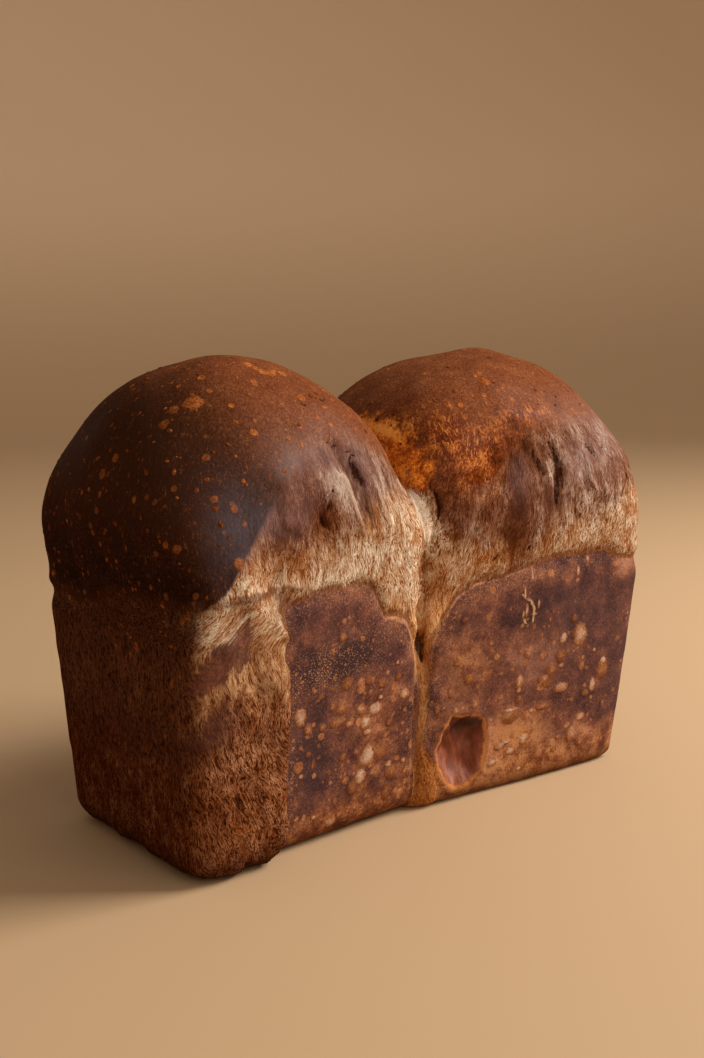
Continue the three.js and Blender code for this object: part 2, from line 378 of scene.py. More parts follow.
def on_surface(net, halvings=24):
    """Slides each corner of a box's net out to the surface, by halving its ray."""
    along, across, up = net.T
    evened = np.abs(along) ** (1 + FINER_AT_CLEFT * (1 - np.abs(along)))
    way = np.sign(along)
    on_core = np.minimum(evened / CORE_SHARE, 1)
    turn = way * np.clip((evened - CORE_SHARE) / (1 - CORE_SHARE), 0, 1)
    start_x = way * on_core * CORE_HALF_LENGTH + CLEFT_X * (1 - on_core)
    start = np.stack([start_x, 0 * start_x, 0 * start_x + CORE_HEIGHT], 1)
    steepen = np.where(up < 0, CORE_HEIGHT / (TIN_WIDTH / 2 - SIDE_TAPER), 1.0)
    quarter = np.pi / 4
    rays = [np.tan(turn * quarter), np.tan(across * quarter), np.tan(up * quarter) * steepen]
    rays = np.stack(rays, 1)
    rays /= np.linalg.norm(rays, axis=1, keepdims=True)
    inside, beyond = np.zeros(len(net)), np.full(len(net), FARTHEST)
    for _ in range(halvings):
        tried = (inside + beyond) / 2
        is_out = outside(start + rays * tried[:, None]) > 0
        beyond = np.where(is_out, tried, beyond)
        inside = np.where(is_out, inside, tried)
    return start + rays * inside[:, None]


COARSE_DIVISIONS, FINE_DIVISIONS = (48, 24, 24), (216, 108, 108)
coarse_net, _ = box_net(*COARSE_DIVISIONS)
coarse = on_surface(coarse_net)
middle = (coarse.min(0) + coarse.max(0)) / 2
shift = np.array([-middle[0], -middle[1], 0.0])
net, quads = box_net(*FINE_DIVISIONS)
plain = on_surface(net)
print("plain form, size in mm:", coarse.max(0) - coarse.min(0), "moved by", shift)
print("corners", len(plain), "faces", len(quads))

# %% [markdown]
# ## Zones of the crust
#
# The crust isn't the same all over. Smooth panels lie against the tin, torn fibrous
# crust wraps the left corner, a pale golden band of stretched dough runs above the rim,
# wrinkled crust follows above that, and the domes are smooth and dark. Each zone is a
# distance in millimetres to its edge, kept with the mesh, so that both the fine relief
# and the colours can follow the same edges. Painting the zones by hand would allow any
# shape, but it couldn't be repeated or moved.

# %% Edges of the zones, as rows of (x, height) in millimetres
TORN_EDGE_BACK, STRIP_TOP, NO_CRACK = -91.0, 46, 9.0
# Where the left half darkens: burnt crust, with painted shade on the side turned from the light
BURNT_AND_SHADED_X, BURNT_AND_SHADED_REACH_X, BURNT_AND_SHADED_Z, BURNT_AND_SHADED_REACH_Z = -40, 55, 139, 50
BAND_TOP_FRONT = [
    (-100, 66), (-98, 78), (-92, 87), (-85, 95), (-76, 98), (-66, 97), (-58, 99), (-50, 98),
    (-38, 101), (-29, 106), (-15, 110), (-6, 111), (-1.5, 111), (0.5, 106), (1.2, 99), (2, 93),
    (5, 90), (24, 88), (33, 84), (42, 88), (51, 92), (64, 97), (76, 100), (87, 103), (100, 104),
]
WRINKLE_TOP_FRONT = [
    (-100, 66), (-97, 76), (-96, 83), (-93, 86), (-87, 90), (-84, 95), (-78, 101), (-72, 108),
    (-66, 113), (-58, 121), (-47, 128), (-36, 128), (-26, 125), (-10, 118), (-4, 114), (4, 113),
    (11, 115), (21, 117), (33, 126), (50, 128), (71, 129), (90, 125), (100, 122),
]
BAND_TOP_BACK = [
    (-100, 66), (-94, 84), (-84, 97), (-60, 104), (-36, 99), (-10, 103), (2, 97), (22, 95),
    (44, 101), (66, 96), (84, 92), (100, 96),
]
WRINKLE_TOP_BACK = [
    (-100, 64), (-90, 92), (-78, 108), (-58, 120), (-34, 112), (-8, 116), (8, 112), (30, 123),
    (58, 118), (82, 110), (100, 104),
]
FLAP = [
    (-80, 79), (-80, 74), (-81, 72), (-80, 68), (-84, 67), (-85, 64), (-87, 67), (-88, 65),
    (-89, 63), (-93, 61), (-97, 59), (-101, 59), (-100, 64), (-97, 67), (-95, 70), (-91, 73),
    (-87, 75), (-84, 78), (-81, 80),
]

# %% Edges of the strip between the two front panels, as rows of (height, x)
STRIP_LEFT = [(0, -5.2), (9, -4.6), (18, -3.8), (43, -3.2), (53, -4.0), (61, -8.0), (70, -12.0)]
STRIP_RIGHT = [(0, 2.5), (2, 3), (8, 4.6), (15, 3), (20, -0.4), (23, -1.8), (35, -1.4), (43, -1.4),
               (52, -1.3), (60, 0), (68, 2.6), (76, 7)]

# %% Lines as (half width, path), and patches as (x, height, half width, half height, amount)
CRACKS = [
    (1.2, [(-37, 122), (-35.5, 118), (-33.5, 114)]), (0.5, [(-43, 128), (-40, 126)]),
    (0.6, [(-38, 125), (-36, 124.4), (-33, 123)]), (0.9, [(-50.5, 107), (-50, 105), (-49, 103)]),
    (0.5, [(-46.5, 115), (-45.5, 113)]), (0.4, [(-49.2, 113.5), (-48.8, 112.3)]),
    (0.4, [(-48, 109.8), (-47.8, 108.3)]), (1.0, [(41, 121), (42, 118), (43, 115), (44, 112)]),
    (1.3, [(49, 123), (50, 118), (50.5, 113), (49.5, 106), (49, 101)]),
    (0.7, [(65, 121), (68, 117)]), (0.6, [(74, 121), (75, 118)]),
    (0.7, [(85, 112), (85, 107), (86, 103)]), (0.4, [(22, 84), (25, 86)]),
    (0.4, [(37, 86), (39, 88)]), (0.35, [(50, 88), (52, 89)]),
    (0.4, [(0.4, 112), (1.7, 108), (1.4, 103), (0.2, 98)]),
    (0.8, [(-5.2, 64), (-4.4, 60), (-3.2, 55), (-2.6, 51)]),
    (1.0, [(-84, 27), (-82, 25), (-83, 22)]), (0.5, [(-79, 5), (-77, 1)]),
    (0.6, [(20, 126), (20.6, 126)]),
]
FOLDS = [
    (1.2, [(-34, 114), (-33, 107), (-31, 99)]),
    (1.2, [(-67.5, 116), (-68, 111), (-66.5, 105), (-59, 101), (-53, 101)]),
    (1.8, [(-88, 78), (-84, 81.5), (-77, 84.2), (-71, 85.5), (-69, 91)]),
    (1.2, [(53, 107), (54, 100)]), (1.3, [(42, 115), (44, 106), (43, 99)]),
    (1.3, [(-84, 20), (-80, 9), (-77, 1)]), (1.2, [(-23, 118), (-20, 108)]),
    (1.2, [(25, 116), (27, 106)]), (1.2, [(61, 112), (63, 103)]),
    (1.5, [(-7, 72), (-4.5, 64), (-2.5, 57), (-2.3, 50)]),
]
RIDGES = [
    (1.0, [(-71, 82.5), (-67.5, 86), (-66, 89), (-66, 96)]),
    (0.8, [(-66, 89), (-60, 86.5), (-54, 86)]), (0.9, [(-44, 118.5), (-41, 118), (-38.5, 115)]),
    (1.0, [(-40, 116), (-38, 108), (-35, 100)]), (1.0, [(46.5, 117), (47, 112), (46.5, 107)]),
    (2.3, [(-8, 64), (-5.5, 67), (-3, 69.5)]), (0.9, [(4.5, 24), (8, 18), (10, 10)]),
    (0.9, [(8.5, 27), (12, 20), (14.5, 11)]), (0.6, [(-4.6, 15), (-4.9, 10), (-5.4, 5)]),
    (0.9, [(-30, 117), (-27, 108), (-24, 101)]), (0.8, [(63, 110), (66, 107), (68, 103)]),
]
CURLS = [
    (0.5, [(37, 69.5), (40, 68.5), (42, 65), (42, 61.5), (40.5, 58.5)]),
    (0.4, [(37, 65.5), (37.6, 62), (39.4, 59)]), (0.35, [(40, 81), (40.2, 77), (40, 73)]),
    (0.35, [(36, 71), (37.5, 69.8)]),
]
# Negative amounts darken and positive ones lighten: mostly the crust's own tone, with painted shade in
# and around the hollows, as at (-50, 105), (-36, 120) and (31, 108)
TONES = [
    (-50, 105, 3.0, 3.0, -0.8), (-50, 110, 7, 7, -0.4), (-47, 102, 3, 2, -0.4),
    (-36, 120, 3, 6, -0.6), (-31, 108, 3, 8, -0.6), (-28, 99, 3, 6, -0.4), (-73, 98, 7, 4, -0.7),
    (-64, 103, 7, 3, -0.7), (-60, 95, 6, 4, -0.9), (-72, 93, 3, 4, -0.5), (-88, 81, 4, 3, -0.3),
    (-47, 123, 8, 3, -0.4), (-57, 114, 9, 4, -0.1), (-46, 117, 6, 5, 1.0), (-61, 110, 9, 8, -0.6),
    (9, 124, 5, 5, -0.5), (15, 118, 6, 5, -0.4), (-42, 112, 3.5, 6, 0.9), (-27, 114, 5, 7, 0.6),
    (-23, 106, 5, 9, 0.1), (-33, 92, 24, 6, 0.4), (-12, 95, 6, 12, 0.35), (-3, 82, 4, 9, -0.8),
    (4, 76, 5, 7, -0.6), (-80, 88, 6, 4, 0.5), (-41, 86, 12, 4, 0.5), (31, 108, 5, 11, -0.7),
    (22, 100, 9, 7, -0.4), (34, 101, 4, 5, -0.5), (38, 116, 5, 6, -0.7), (45, 104, 3, 5, -0.4),
    (24, 86, 14, 4, -0.6), (5, 104, 6, 8, -0.5), (31, 92, 6, 6, -0.5), (62, 116, 8, 7, 0.5),
    (48, 112, 2, 3, 0.6), (58, 110, 8, 12, 0.3), (73, 101, 10, 6, 0.3), (78, 124, 9, 8, 0.4),
    (66, 91, 16, 4, 0.4), (14, 95, 7, 8, 0.3), (85, 107, 4, 6, -0.4), (-54, 30, 7, 10, -1.0),
    (-48, 33, 9, 6, -0.6), (-10, 33, 5, 11, -0.7), (-26, 14, 4, 4, -0.7), (-50, 58, 10, 7, -0.9),
    (-32, 62, 12, 7, -0.5), (-44, 22, 8, 5, -0.7), (-38, 60, 6, 4, -0.5), (-25, 32, 6, 4, 0.4),
    (-32, 40, 12, 5, 0.5), (-15, 48, 5, 7, 0.5), (-20, 14, 5, 5, 0.3), (-40, 8, 20, 4, 0.3),
    (66, 63, 24, 12, -0.45), (46, 45, 12, 9, 1.0), (48, 64, 11, 9, -0.5), (24, 48, 18, 16, 0.3),
    (30, 60, 9, 7, -0.4), (86, 38, 8, 22, -0.6), (30, 42, 9, 6, -0.5), (66, 30, 12, 5, -0.5),
    (50, 22, 6, 5, -0.5), (38, 22, 12, 8, 0.8), (31, 12, 8, 7, 0.9), (66, 14, 14, 6, 0.5),
    (8, 38, 4, 8, -0.2), (86, 77, 5, 5, 0.8), (18, 27, 6, 3.5, -1.0), (12, 11, 5, 4, 0.6),
    (6, 18, 3, 4, 0.5), (20, 14, 4, 6, -0.3),
]
# Negative warmth is lilac: partly the crust's own tone, partly painted sheen, as low on the left dome
# at (-83, 106), on the right dome's right side and low in the dent.
WARMTHS = [
    (42, 132, 11, 3.5, 1.0), (30, 125, 8, 5, 0.8), (22, 118, 8, 6, 0.9), (-14, 120, 7, 4, 0.5),
    (10, 126, 10, 9, 1.0), (14, 113, 9, 6, 0.9), (-33, 119, 6, 7, -0.9), (-47, 117, 8, 6, -0.6),
    (-60, 122, 6, 5, -0.6), (-62, 108, 10, 7, -0.7), (-45, 124, 10, 4, -0.7),
    (-72, 108, 5, 6, -0.7), (80, 125, 12, 14, -0.7), (62, 116, 11, 8, -0.8), (33, 112, 6, 9, -0.6),
    (49, 105, 6, 6, -0.3), (-50, 105, 6, 6, 0.3), (-83, 106, 9, 13, -1.0), (-33, 106, 7, 9, -0.5),
    (-24, 110, 5, 9, -0.4), (18, 84, 18, 3, 0.5), (60, 90, 24, 2.5, 0.4), (-54, 30, 8, 12, -0.9),
    (-38, 62, 16, 8, -0.4), (62, 60, 28, 14, -0.8), (46, 44, 14, 9, -0.6), (88, 40, 9, 22, -0.5),
    (26, 50, 18, 16, 0.3), (-24, 34, 14, 16, 0.4), (38, 18, 16, 9, 1.0), (12, 50, 6, 8, 0.3),
    (8, 18, 6, 14, 0.7), (-40, 8, 26, 5, 0.9), (60, 7, 40, 5, 0.8), (-8, 12, 6, 10, 0.7),
    (11, 11, 5, 4, -1.2), (6, 17, 3, 4, -1.0),
]
# Where the valley's orange is brightened most, as painted light
GLOWS = [(1, 130, 4, 5, 0.9), (-1, 126, 3, 4, 0.7), (-3, 121, 2.5, 4, 0.6), (-3, 114, 3, 4, 1.0)]


# %% Distances to the edges of the zones
def from_crack(x, z, path):
    """Distance to a crack that narrows towards its two ends."""
    nearest = np.full_like(x, NOWHERE)
    for passed, away in along_path(x, z, path):
        open_share = np.sin(np.pi * (passed + 0.35) / (len(path) - 0.3))
        nearest = np.minimum(nearest, away / np.maximum(open_share, 0.05))
    return nearest


def patches(x, z, table):
    """Sum of soft patches, given as (x, height, half width, half height, amount)."""
    total = np.zeros_like(x)
    for *where, amount in table:
        total += amount * spot(x, z, *where)
    return total


def zones_of(places):
    """The signed distances and shares that tell the crust's zones apart."""
    x, y, z = places.T
    front = y < 0
    seen = turned_half(x, y)
    to_back = ease(y, -12, 12)
    on_a_side, off_the_ridge = ease(np.abs(y), 2, 16), ease(np.abs(y), 4, 16)
    from_cleft = x - CLEFT_X

    torn = mix(torn_edge(z), np.full_like(x, TORN_EDGE_BACK), ease(y, -20, 20)) - x
    folded = -above_panel(x, z - edge_wander(x, y))
    in_strip = front & (np.abs(from_cleft) < 1.6) & (z < STRIP_TOP)
    folded = np.where(in_strip, np.maximum(folded, STRIP_TOP - z), folded)
    strip_left, strip_right = along_edge(z, STRIP_LEFT), along_edge(z, STRIP_RIGHT)
    front_gap = np.where(x < (strip_left + strip_right) / 2, strip_left - x, x - strip_right)
    gap = np.where(front, front_gap, np.abs(from_cleft) - 2 * PANEL_GAP)

    band_top = mix(along_edge(x, BAND_TOP_FRONT), along_edge(x, BAND_TOP_BACK), to_back)
    wrinkle_top = mix(along_edge(x, WRINKLE_TOP_FRONT), along_edge(x, WRINKLE_TOP_BACK), to_back)
    # Darker to the left and lower down: partly burnt crust, partly painted shade on the side turned
    # from the light
    burnt_and_shaded = 0.75 * (BURNT_AND_SHADED_X - x) / BURNT_AND_SHADED_REACH_X + 0.5 * (BURNT_AND_SHADED_Z - z) / BURNT_AND_SHADED_REACH_Z - 0.08
    burnt_and_shaded = np.clip(burnt_and_shaded, 0, 1) * (x < CLEFT_X)
    beside_cleft = ease(from_cleft, -4, 0) * (1 - ease(from_cleft, 3, 11))
    tongue = np.minimum(tongue_share(x, y, z) * 1.6, 1)

    cracks = np.full_like(x, NO_CRACK)
    for half_width, path in CRACKS:
        cracks = np.minimum(cracks, from_crack(seen, z, path) / half_width)
    grooves = np.zeros_like(x)
    for face, depth, path in CREASES:
        on_face = front == (face == FRONT)
        grooves = np.maximum(grooves, crease_share(x, z, path, 1.6) * on_face * depth / 2.4)
    folds = 0.75 * strongest(seen, z, FOLDS) * off_the_ridge

    return {
        "panel": np.minimum(np.minimum(folded, gap), -torn),
        "torn": np.minimum(torn, folded + 6),
        "over_band": z - band_top,
        "over_wrinkles": z - wrinkle_top,
        "from_dent": np.where(front, from_outline(x, z, DENT), NOWHERE),
        "from_flap": np.where(front, from_outline(x, z, FLAP), NOWHERE),
        "tone": patches(seen, z, TONES) * on_a_side,
        "warmth": patches(seen, z, WARMTHS) * on_a_side,
        "glow": patches(x, z, GLOWS),
        "burnt_and_shaded": burnt_and_shaded * (1 - 0.3 * (1 - ease(z, 60, 80)) * ease(-x, 92, 98)),
        "ridge": strongest(seen, z, RIDGES) * off_the_ridge,
        "curl": strongest(seen, z, CURLS, wider_by=0.3) * off_the_ridge,
        "valley": beside_cleft * ease(z, 103, 111) * (1 - ease(z, 129, 140)),
        "tongue": tongue * ease(x, -7, -4) * ease(z, 90, 97),
        "from_crack": np.where(np.abs(y) > 12, cracks, NO_CRACK),
        "groove": np.maximum(np.where(x < -60, 0.3, 1) * grooves, folds),
    }


def flow_of(places):
    """Coordinates in millimetres that run along the fibres of the crust in z."""
    x, y, z = places.T
    from_cleft = x - CLEFT_X
    from_middle = np.abs(from_cleft)
    fan = 0.5 * np.sign(from_cleft) * (1 - np.exp(-from_middle / 4)) * np.exp(-from_middle / 26)
    above_rim = ease(z, 40, 80) * (1 - ease(z, 118, 140))
    side_x = mix(from_cleft + 0.22 * z * (x < -58), from_cleft, ease(z, 70, 84))
    side_x = side_x + 0.35 * (z - 80) * spot(x, z, -89, 80, 10, 12)
    side_x = side_x + 0.6 * (z - 35) * spot(x, z, -66, 36, 8, 16)
    leaning = side_x - fan * (z - 70) * above_rim
    spread = np.maximum(np.sqrt(np.clip(1 - ((z - 100) / 56) ** 2 * (z > 100), 0, 1)), 0.3)
    centre = np.where(x < CLEFT_X, -52.0, 48.0) - CLEFT_X
    across = centre + (leaning - centre) / spread
    return np.stack([across, y / spread, z], 1)


# %% [markdown]
# ## Fine relief
#
# Torn crust is a mat of ridges along the fibres, the wrinkled zone has upright folds, and
# the smooth zones are only a little uneven. The relief comes from value noise: random
# numbers at the corners of a lattice, blended smoothly between them. Blender's own noise
# would do too, but this one works on a hundred thousand points at once.

# %% Value noise on arrays of points
NOISE_SEED, NOISE_NUMBERS = 11, 4096
LATTICE_PRIMES = (73856093, 19349663, 83492791)
noise_table = np.random.default_rng(NOISE_SEED).random(NOISE_NUMBERS) * 2 - 1


def grain(places, size, seed=0):
    """Smooth noise between -1 and 1, with lumps of one size, or of sizes along x, y and z."""
    scaled = places / np.array(size, float) + 37.0 * seed
    cell = np.floor(scaled).astype(np.int64)
    part = scaled - cell
    part = part * part * (3 - 2 * part)
    total = np.zeros(len(places))
    for corner in np.ndindex(2, 2, 2):
        at = cell + corner
        first, second, third = (at * LATTICE_PRIMES).T
        weight = np.prod(np.where(np.array(corner) == 1, part, 1 - part), axis=1)
        total += weight * noise_table[(first ^ second ^ third) & (NOISE_NUMBERS - 1)]
    return total


def ridge(values):
    """Turns smooth noise into sharp crests: 1 where it crosses zero."""
    return 1 - 2 * np.abs(values)


# %% Relief of each zone, in millimetres along the surface's normal
CREVICE = [(-6, 71), (-4.5, 63), (-2.8, 56), (-2.2, 46)]
FOOT_BEAD, DOME_SWELL = (1.2, 9, 3.6, 7), (42, 132, 13, 4)


def fine_relief(places, flow, zones):
    """What the fibres, folds and lips add, and the random cracks kept with the grooves."""
    x, y, z = places.T
    on_panel = ease(zones["panel"], -0.4, 0.6)
    on_torn = ease(zones["torn"], -0.5, 1.0) * (1 - on_panel)
    above = ease(-zones["panel"], 0.0, 2.0) * (1 - on_torn)
    on_band = above * (1 - ease(zones["over_band"], -3, 5))
    on_wrinkles = above * ease(zones["over_band"], -3, 5) * (1 - ease(zones["over_wrinkles"], -4, 4))
    on_dome = above * ease(zones["over_wrinkles"], -4, 4)
    on_end = ease(-x, 90, 97)

    shreds = 0.30 * ridge(grain(flow, (2.4, 2.4, 6.0), 1)) + 0.30 * grain(flow, (1.8, 1.8, 4.0), 2)
    swells = mix(0.8, 0.12, on_end) * grain(flow, (7.0, 7.0, 10.0), 3)
    flat = 1 - 0.85 * ease(-zones["from_flap"], -1.0, 1.0)
    rise = on_torn * flat * (shreds * mix(1.0, 0.3, on_end) + swells)
    strands = 0.12 * grain(flow, (2.0, 2.0, 7.0), 4) + 0.40 * grain(flow, (8.0, 8.0, 16.0), 5)
    folds = 0.60 * grain(flow, (6.0, 6.0, 15.0), 6) + 0.32 * grain(flow, (2.8, 2.8, 8.0), 7)
    rise = rise + on_band * strands + on_wrinkles * folds
    cracks = ease(ridge(grain(flow, (7.0, 7.0, 20.0), 16)), 0.86, 1.0)
    cracks = cracks * ease(grain(places, 15, 17), 0.05, 0.4) * on_wrinkles
    zones["groove"] = np.maximum(zones["groove"], 0.6 * cracks)
    dome_swells = 0.30 * grain(places, 15, 8) + 0.10 * grain(places, 4, 9)
    panel_swells = 0.45 * grain(places, 24, 18) + 0.16 * grain(places, 8, 10)
    panel_swells = panel_swells + 0.07 * grain(places, 3, 12)
    rise = rise + on_dome * dome_swells + on_panel * panel_swells

    near_cleft = hump(x - CLEFT_X, 22) * ease(z, 4, 12)
    uneven = 0.65 + 0.6 * grain(places, (5, 5, 7), 19)
    lip = hump(zones["panel"] - 1.3 - grain(places, 6, 20), 1.2) * (0.10 + 0.3 * near_cleft)
    undercut = hump(zones["panel"] + 0.9, 0.8) * (0.15 + 0.6 * near_cleft)
    rise = rise + uneven * (0.8 * lip - 0.9 * undercut) * ease(z, 3, 10)
    rise = rise - 1.2 * zones["groove"] * (0.6 + 0.4 * grain(flow, (3, 3, 5), 13))
    rise = rise - 1.2 * hump(zones["from_crack"], 1.2) + 0.8 * zones["ridge"] + 0.35 * zones["curl"]
    rise = rise - 2.0 * crease_share(x, z, CREVICE, 1.8) * (y < 0)
    rise = rise + 1.3 * spot(x, z, *FOOT_BEAD) * (y < 0) + 0.9 * spot(x, z, *DOME_SWELL) * (y < 0)
    away = zones["from_dent"]
    rise = rise + 0.9 * ease(-away, -0.5, 2.0) * grain(flow, (4.0, 4.0, 5.5), 14) * (away < 3)
    return rise * ease(z, 0.0, 2.0)


def normals_of(places, faces):
    """The way out at each corner, as the mean of its faces weighted by their size."""
    a, b, c, d = (places[faces[:, k]] for k in range(4))
    face_normals = np.cross(c - a, d - b)
    normals = np.zeros_like(places)
    for k in range(4):
        np.add.at(normals, faces[:, k], face_normals)
    return normals / np.maximum(np.linalg.norm(normals, axis=1, keepdims=True), 1e-9)


zones = zones_of(plain)
flow = flow_of(plain)
rise = fine_relief(plain, flow, zones)
fine = plain + normals_of(plain, quads) * rise[:, None]
fine[:, 2] = np.maximum(fine[:, 2], 0)
print("fine relief from", rise.min().round(2), "to", rise.max().round(2), "mm")

# %% [markdown]
# ## Bubbles on the panels and flakes on the domes
#
# Small bubbles under the skin baked paler on the panels, and on the domes the skin
# flaked off in orange spots. The large ones have a place of their own, and the material
# scatters the small ones. Each face of the mesh keeps the way to its nearest bubble, so
# that the material can draw a round edge that is finer than the mesh.

# %% Bubbles as (x, height, half width, half height) and flakes as (x, y, height, radius)
PALE_SPOTS = [
    (-56.8, 44.8, 2.3, 3.1), (-36.6, 38.3, 1.3, 1.1), (-31.8, 42.2, 2.0, 1.8),
    (-25.6, 41.1, 2.8, 2.2), (-29.6, 37.0, 2.5, 2.3), (-28.3, 33.8, 1.7, 1.1),
    (-12.8, 43.7, 2.3, 1.9), (-55.5, 25.3, 1.0, 0.8), (-50.2, 24.1, 0.9, 1.0),
    (-11.1, 20.0, 1.3, 1.0), (-49.5, 10.0, 1.1, 0.7), (-56.7, 11.2, 1.0, 0.7),
    (-23.6, 44.8, 1.0, 0.8), (-16.8, 55.1, 0.8, 0.9), (-17.8, 20.3, 1.4, 1.1),
    (57.6, 51.9, 1.7, 2.2), (74.0, 45.2, 0.9, 0.8), (79.6, 40.2, 1.6, 1.4), (74.3, 31.7, 1.6, 2.6),
    (57.6, 42.0, 1.4, 0.9), (49.9, 37.8, 2.4, 1.8), (38.1, 38.9, 1.8, 2.4), (38.1, 35.8, 1.1, 1.1),
    (45.0, 27.1, 1.0, 0.9), (35.8, 29.0, 3.3, 0.6), (59.2, 14.4, 1.3, 0.9), (65.8, 14.2, 2.2, 2.9),
    (36.3, 13.6, 2.0, 1.2), (34.4, 17.4, 2.2, 0.8), (32.0, 7.9, 1.4, 1.0), (41.0, 6.0, 1.0, 0.8),
    (10.0, 33.2, 1.3, 1.3), (-27.4, 25.2, 3.6, 3.6), (-30.2, 19.0, 2.4, 2.5),
    (-42.3, 6.2, 2.1, 1.8), (65.8, 52.2, 3.3, 4.6), (58.8, 33.6, 3.2, 1.9), (69.7, 20.3, 2.3, 1.5),
    (42.4, 17.0, 2.2, 2.0), (31.6, 16.3, 2.2, 1.4), (28.7, 10.9, 2.6, 1.5), (38.6, 65.0, 0.7, 2.6),
    (37.2, 71.0, 0.5, 2.2), (43.8, 66.5, 0.6, 1.8), (42.0, 63.2, 1.5, 0.6), (67, 80, 0.8, 1.4),
    (62, 76, 0.8, 2.2),
]
ORANGE_SPOTS = [
    (-53.5, 40.4, 1.8, 2.1), (-47.7, 39.5, 1.5, 1.5), (-40.1, 44.2, 2.9, 2.2),
    (-41.2, 39.9, 3.8, 1.7), (-29.2, 51.6, 1.7, 2.0), (-23.4, 49.6, 1.9, 1.8),
    (-38.3, 52.2, 2.5, 2.3), (-41.1, 67.7, 1.6, 1.6), (-22.7, 26.1, 3.8, 3.4),
    (-33.8, 15.9, 2.0, 2.3), (-38.4, 27.5, 1.3, 1.4), (-16.6, 17.3, 3.3, 2.6),
    (-18.3, 10.8, 2.0, 3.1), (-52.8, 31.8, 1.2, 1.0), (-48.8, 49.8, 1.4, 1.1),
    (-16.2, 50.1, 1.3, 1.3), (-19.0, 34.9, 1.4, 1.1), (-44.0, 45.5, 1.1, 1.3),
    (62.3, 58.8, 1.6, 1.6), (79.4, 36.7, 3.4, 3.4), (71.2, 29.2, 2.3, 1.3), (57.1, 45.3, 2.4, 2.2),
    (52.8, 40.8, 2.8, 2.9), (51.3, 36.2, 2.8, 1.8), (38.5, 32.4, 1.4, 1.5), (23.9, 55.2, 1.1, 0.9),
    (11.5, 65.0, 1.0, 0.9), (9.5, 50.6, 2.0, 1.7), (15.3, 43.5, 2.3, 2.1), (7.9, 40.2, 1.5, 2.4),
    (41.0, 49.3, 2.1, 2.4), (34.9, 26.8, 4.3, 3.0), (30.0, 34.5, 1.1, 1.0), (18.9, 34.2, 1.7, 1.6),
    (2.6, 34.5, 1.0, 1.5), (50.0, 27.7, 3.5, 1.1), (57.7, 10.2, 1.7, 1.4), (70.9, 10.2, 1.7, 1.4),
    (64.0, 27.8, 1.3, 0.9),
]
FLAKES = [
    (-81, -25, 141, 3.3), (-86, -22, 139, 1.7), (-90, -23, 135, 1.7), (-99, -9, 125, 1.7),
    (-101, -4, 120, 1.8), (-82, 10, 145, 1.1), (-80, -15, 145, 1.0), (-74, -18, 148, 1.3),
    (-75, -24, 144, 1.1), (-72, -31, 140, 1.1), (-56, -16, 151, 2.0), (-54.5, -18, 150, 1.5),
    (-53, -20, 149, 1.8), (-50.5, -20.5, 148.8, 1.8), (-48.5, -19.5, 149, 1.2),
    (-46, -20, 148, 1.7), (-46, -30, 141, 1.5), (-69, -38, 132, 1.3), (-52, -37, 133, 1.0),
    (-86, -39, 126, 1.2), (-101, -25, 114, 1.4), (-103, -4, 109, 1.1), (-102, -5, 114, 1.1),
    (-88, -46, 115, 1.2), (-83, -48, 112, 1.3), (-99, -44, 102, 1.5), (-101, -41, 103, 1.1),
    (-102, -37, 100, 1.0), (-84, -52, 97, 1.8), (-98, -44, 81, 1.1), (-98, -38, 62, 1.4),
    (-98, -37, 52, 1.2), (-97, -40, 51, 1.3), (-98, -42, 65, 1.0), (-96, -38, 118, 1.0),
    (-103, -1, 102, 1.0), (-40, -37, 133, 1.0), (-44, -35, 135, 0.9), (33, -28, 143, 2.0),
    (20, -11, 146, 1.1), (15, -29, 136, 1.2), (19, -31, 136, 1.1), (11, -31, 132, 1.4),
    (18, -34, 132, 1.1), (11, -28, 134, 1.0), (-70, 28, 140, 1.8), (-88, 20, 135, 1.4),
    (-40, 34, 138, 1.2), (36, 26, 143, 1.6), (58, 34, 133, 1.4), (12, 30, 134, 1.2),
    (84, 10, 137, 1.5), (98, -6, 118, 1.3),
]


# %% The way from every corner of every face to the bubble and the flake nearest to the face
FAR_OFF, REACH_OF_SPOT = 9.0, 5.0
BUBBLE_RISE, FLAKE_RISE = 0.28, 0.25


def ways_to_nearest(corners, centres, sizes):
    """Corners of faces, from the nearest centre in its own sizes, and which centre it is."""
    middles = corners.mean(1)
    chosen, least = np.zeros(len(middles), int), np.full(len(middles), FAR_OFF)
    for number, (centre, size) in enumerate(zip(centres, sizes)):
        away = np.linalg.norm((middles - centre) / size, axis=1)
        chosen = np.where(away < least, number, chosen)
        least = np.minimum(least, away)
    ways = (corners - centres[chosen][:, None]) / sizes[chosen][:, None]
    ways[least >= REACH_OF_SPOT] = FAR_OFF
    return ways, chosen


spots = np.array(PALE_SPOTS + ORANGE_SPOTS)
seen_places = np.stack([turned_half(plain[:, 0], plain[:, 1]), 0 * plain[:, 1], plain[:, 2]], 1)
spot_centres = np.stack([spots[:, 0], 0 * spots[:, 0], spots[:, 1]], 1)
spot_sizes = np.stack([spots[:, 2], 1 + 0 * spots[:, 2], spots[:, 3]], 1)
bubble, which = ways_to_nearest(seen_places[quads], spot_centres, spot_sizes)
bubble[..., 1] = (which < len(PALE_SPOTS))[:, None]
flakes = np.array(FLAKES)
flake, _ = ways_to_nearest(plain[quads], flakes[:, :3], np.repeat(flakes[:, 3:], 3, axis=1))


def raised_by(ways, flat_axes, height):
    """Millimetres that bubbles lift the corners of the mesh."""
    away = np.linalg.norm(ways * flat_axes, axis=2)
    lift = np.zeros(len(plain))
    np.maximum.at(lift, quads.ravel(), height * (1 - ease(away, 0.3, 1.15)).ravel())
    return lift


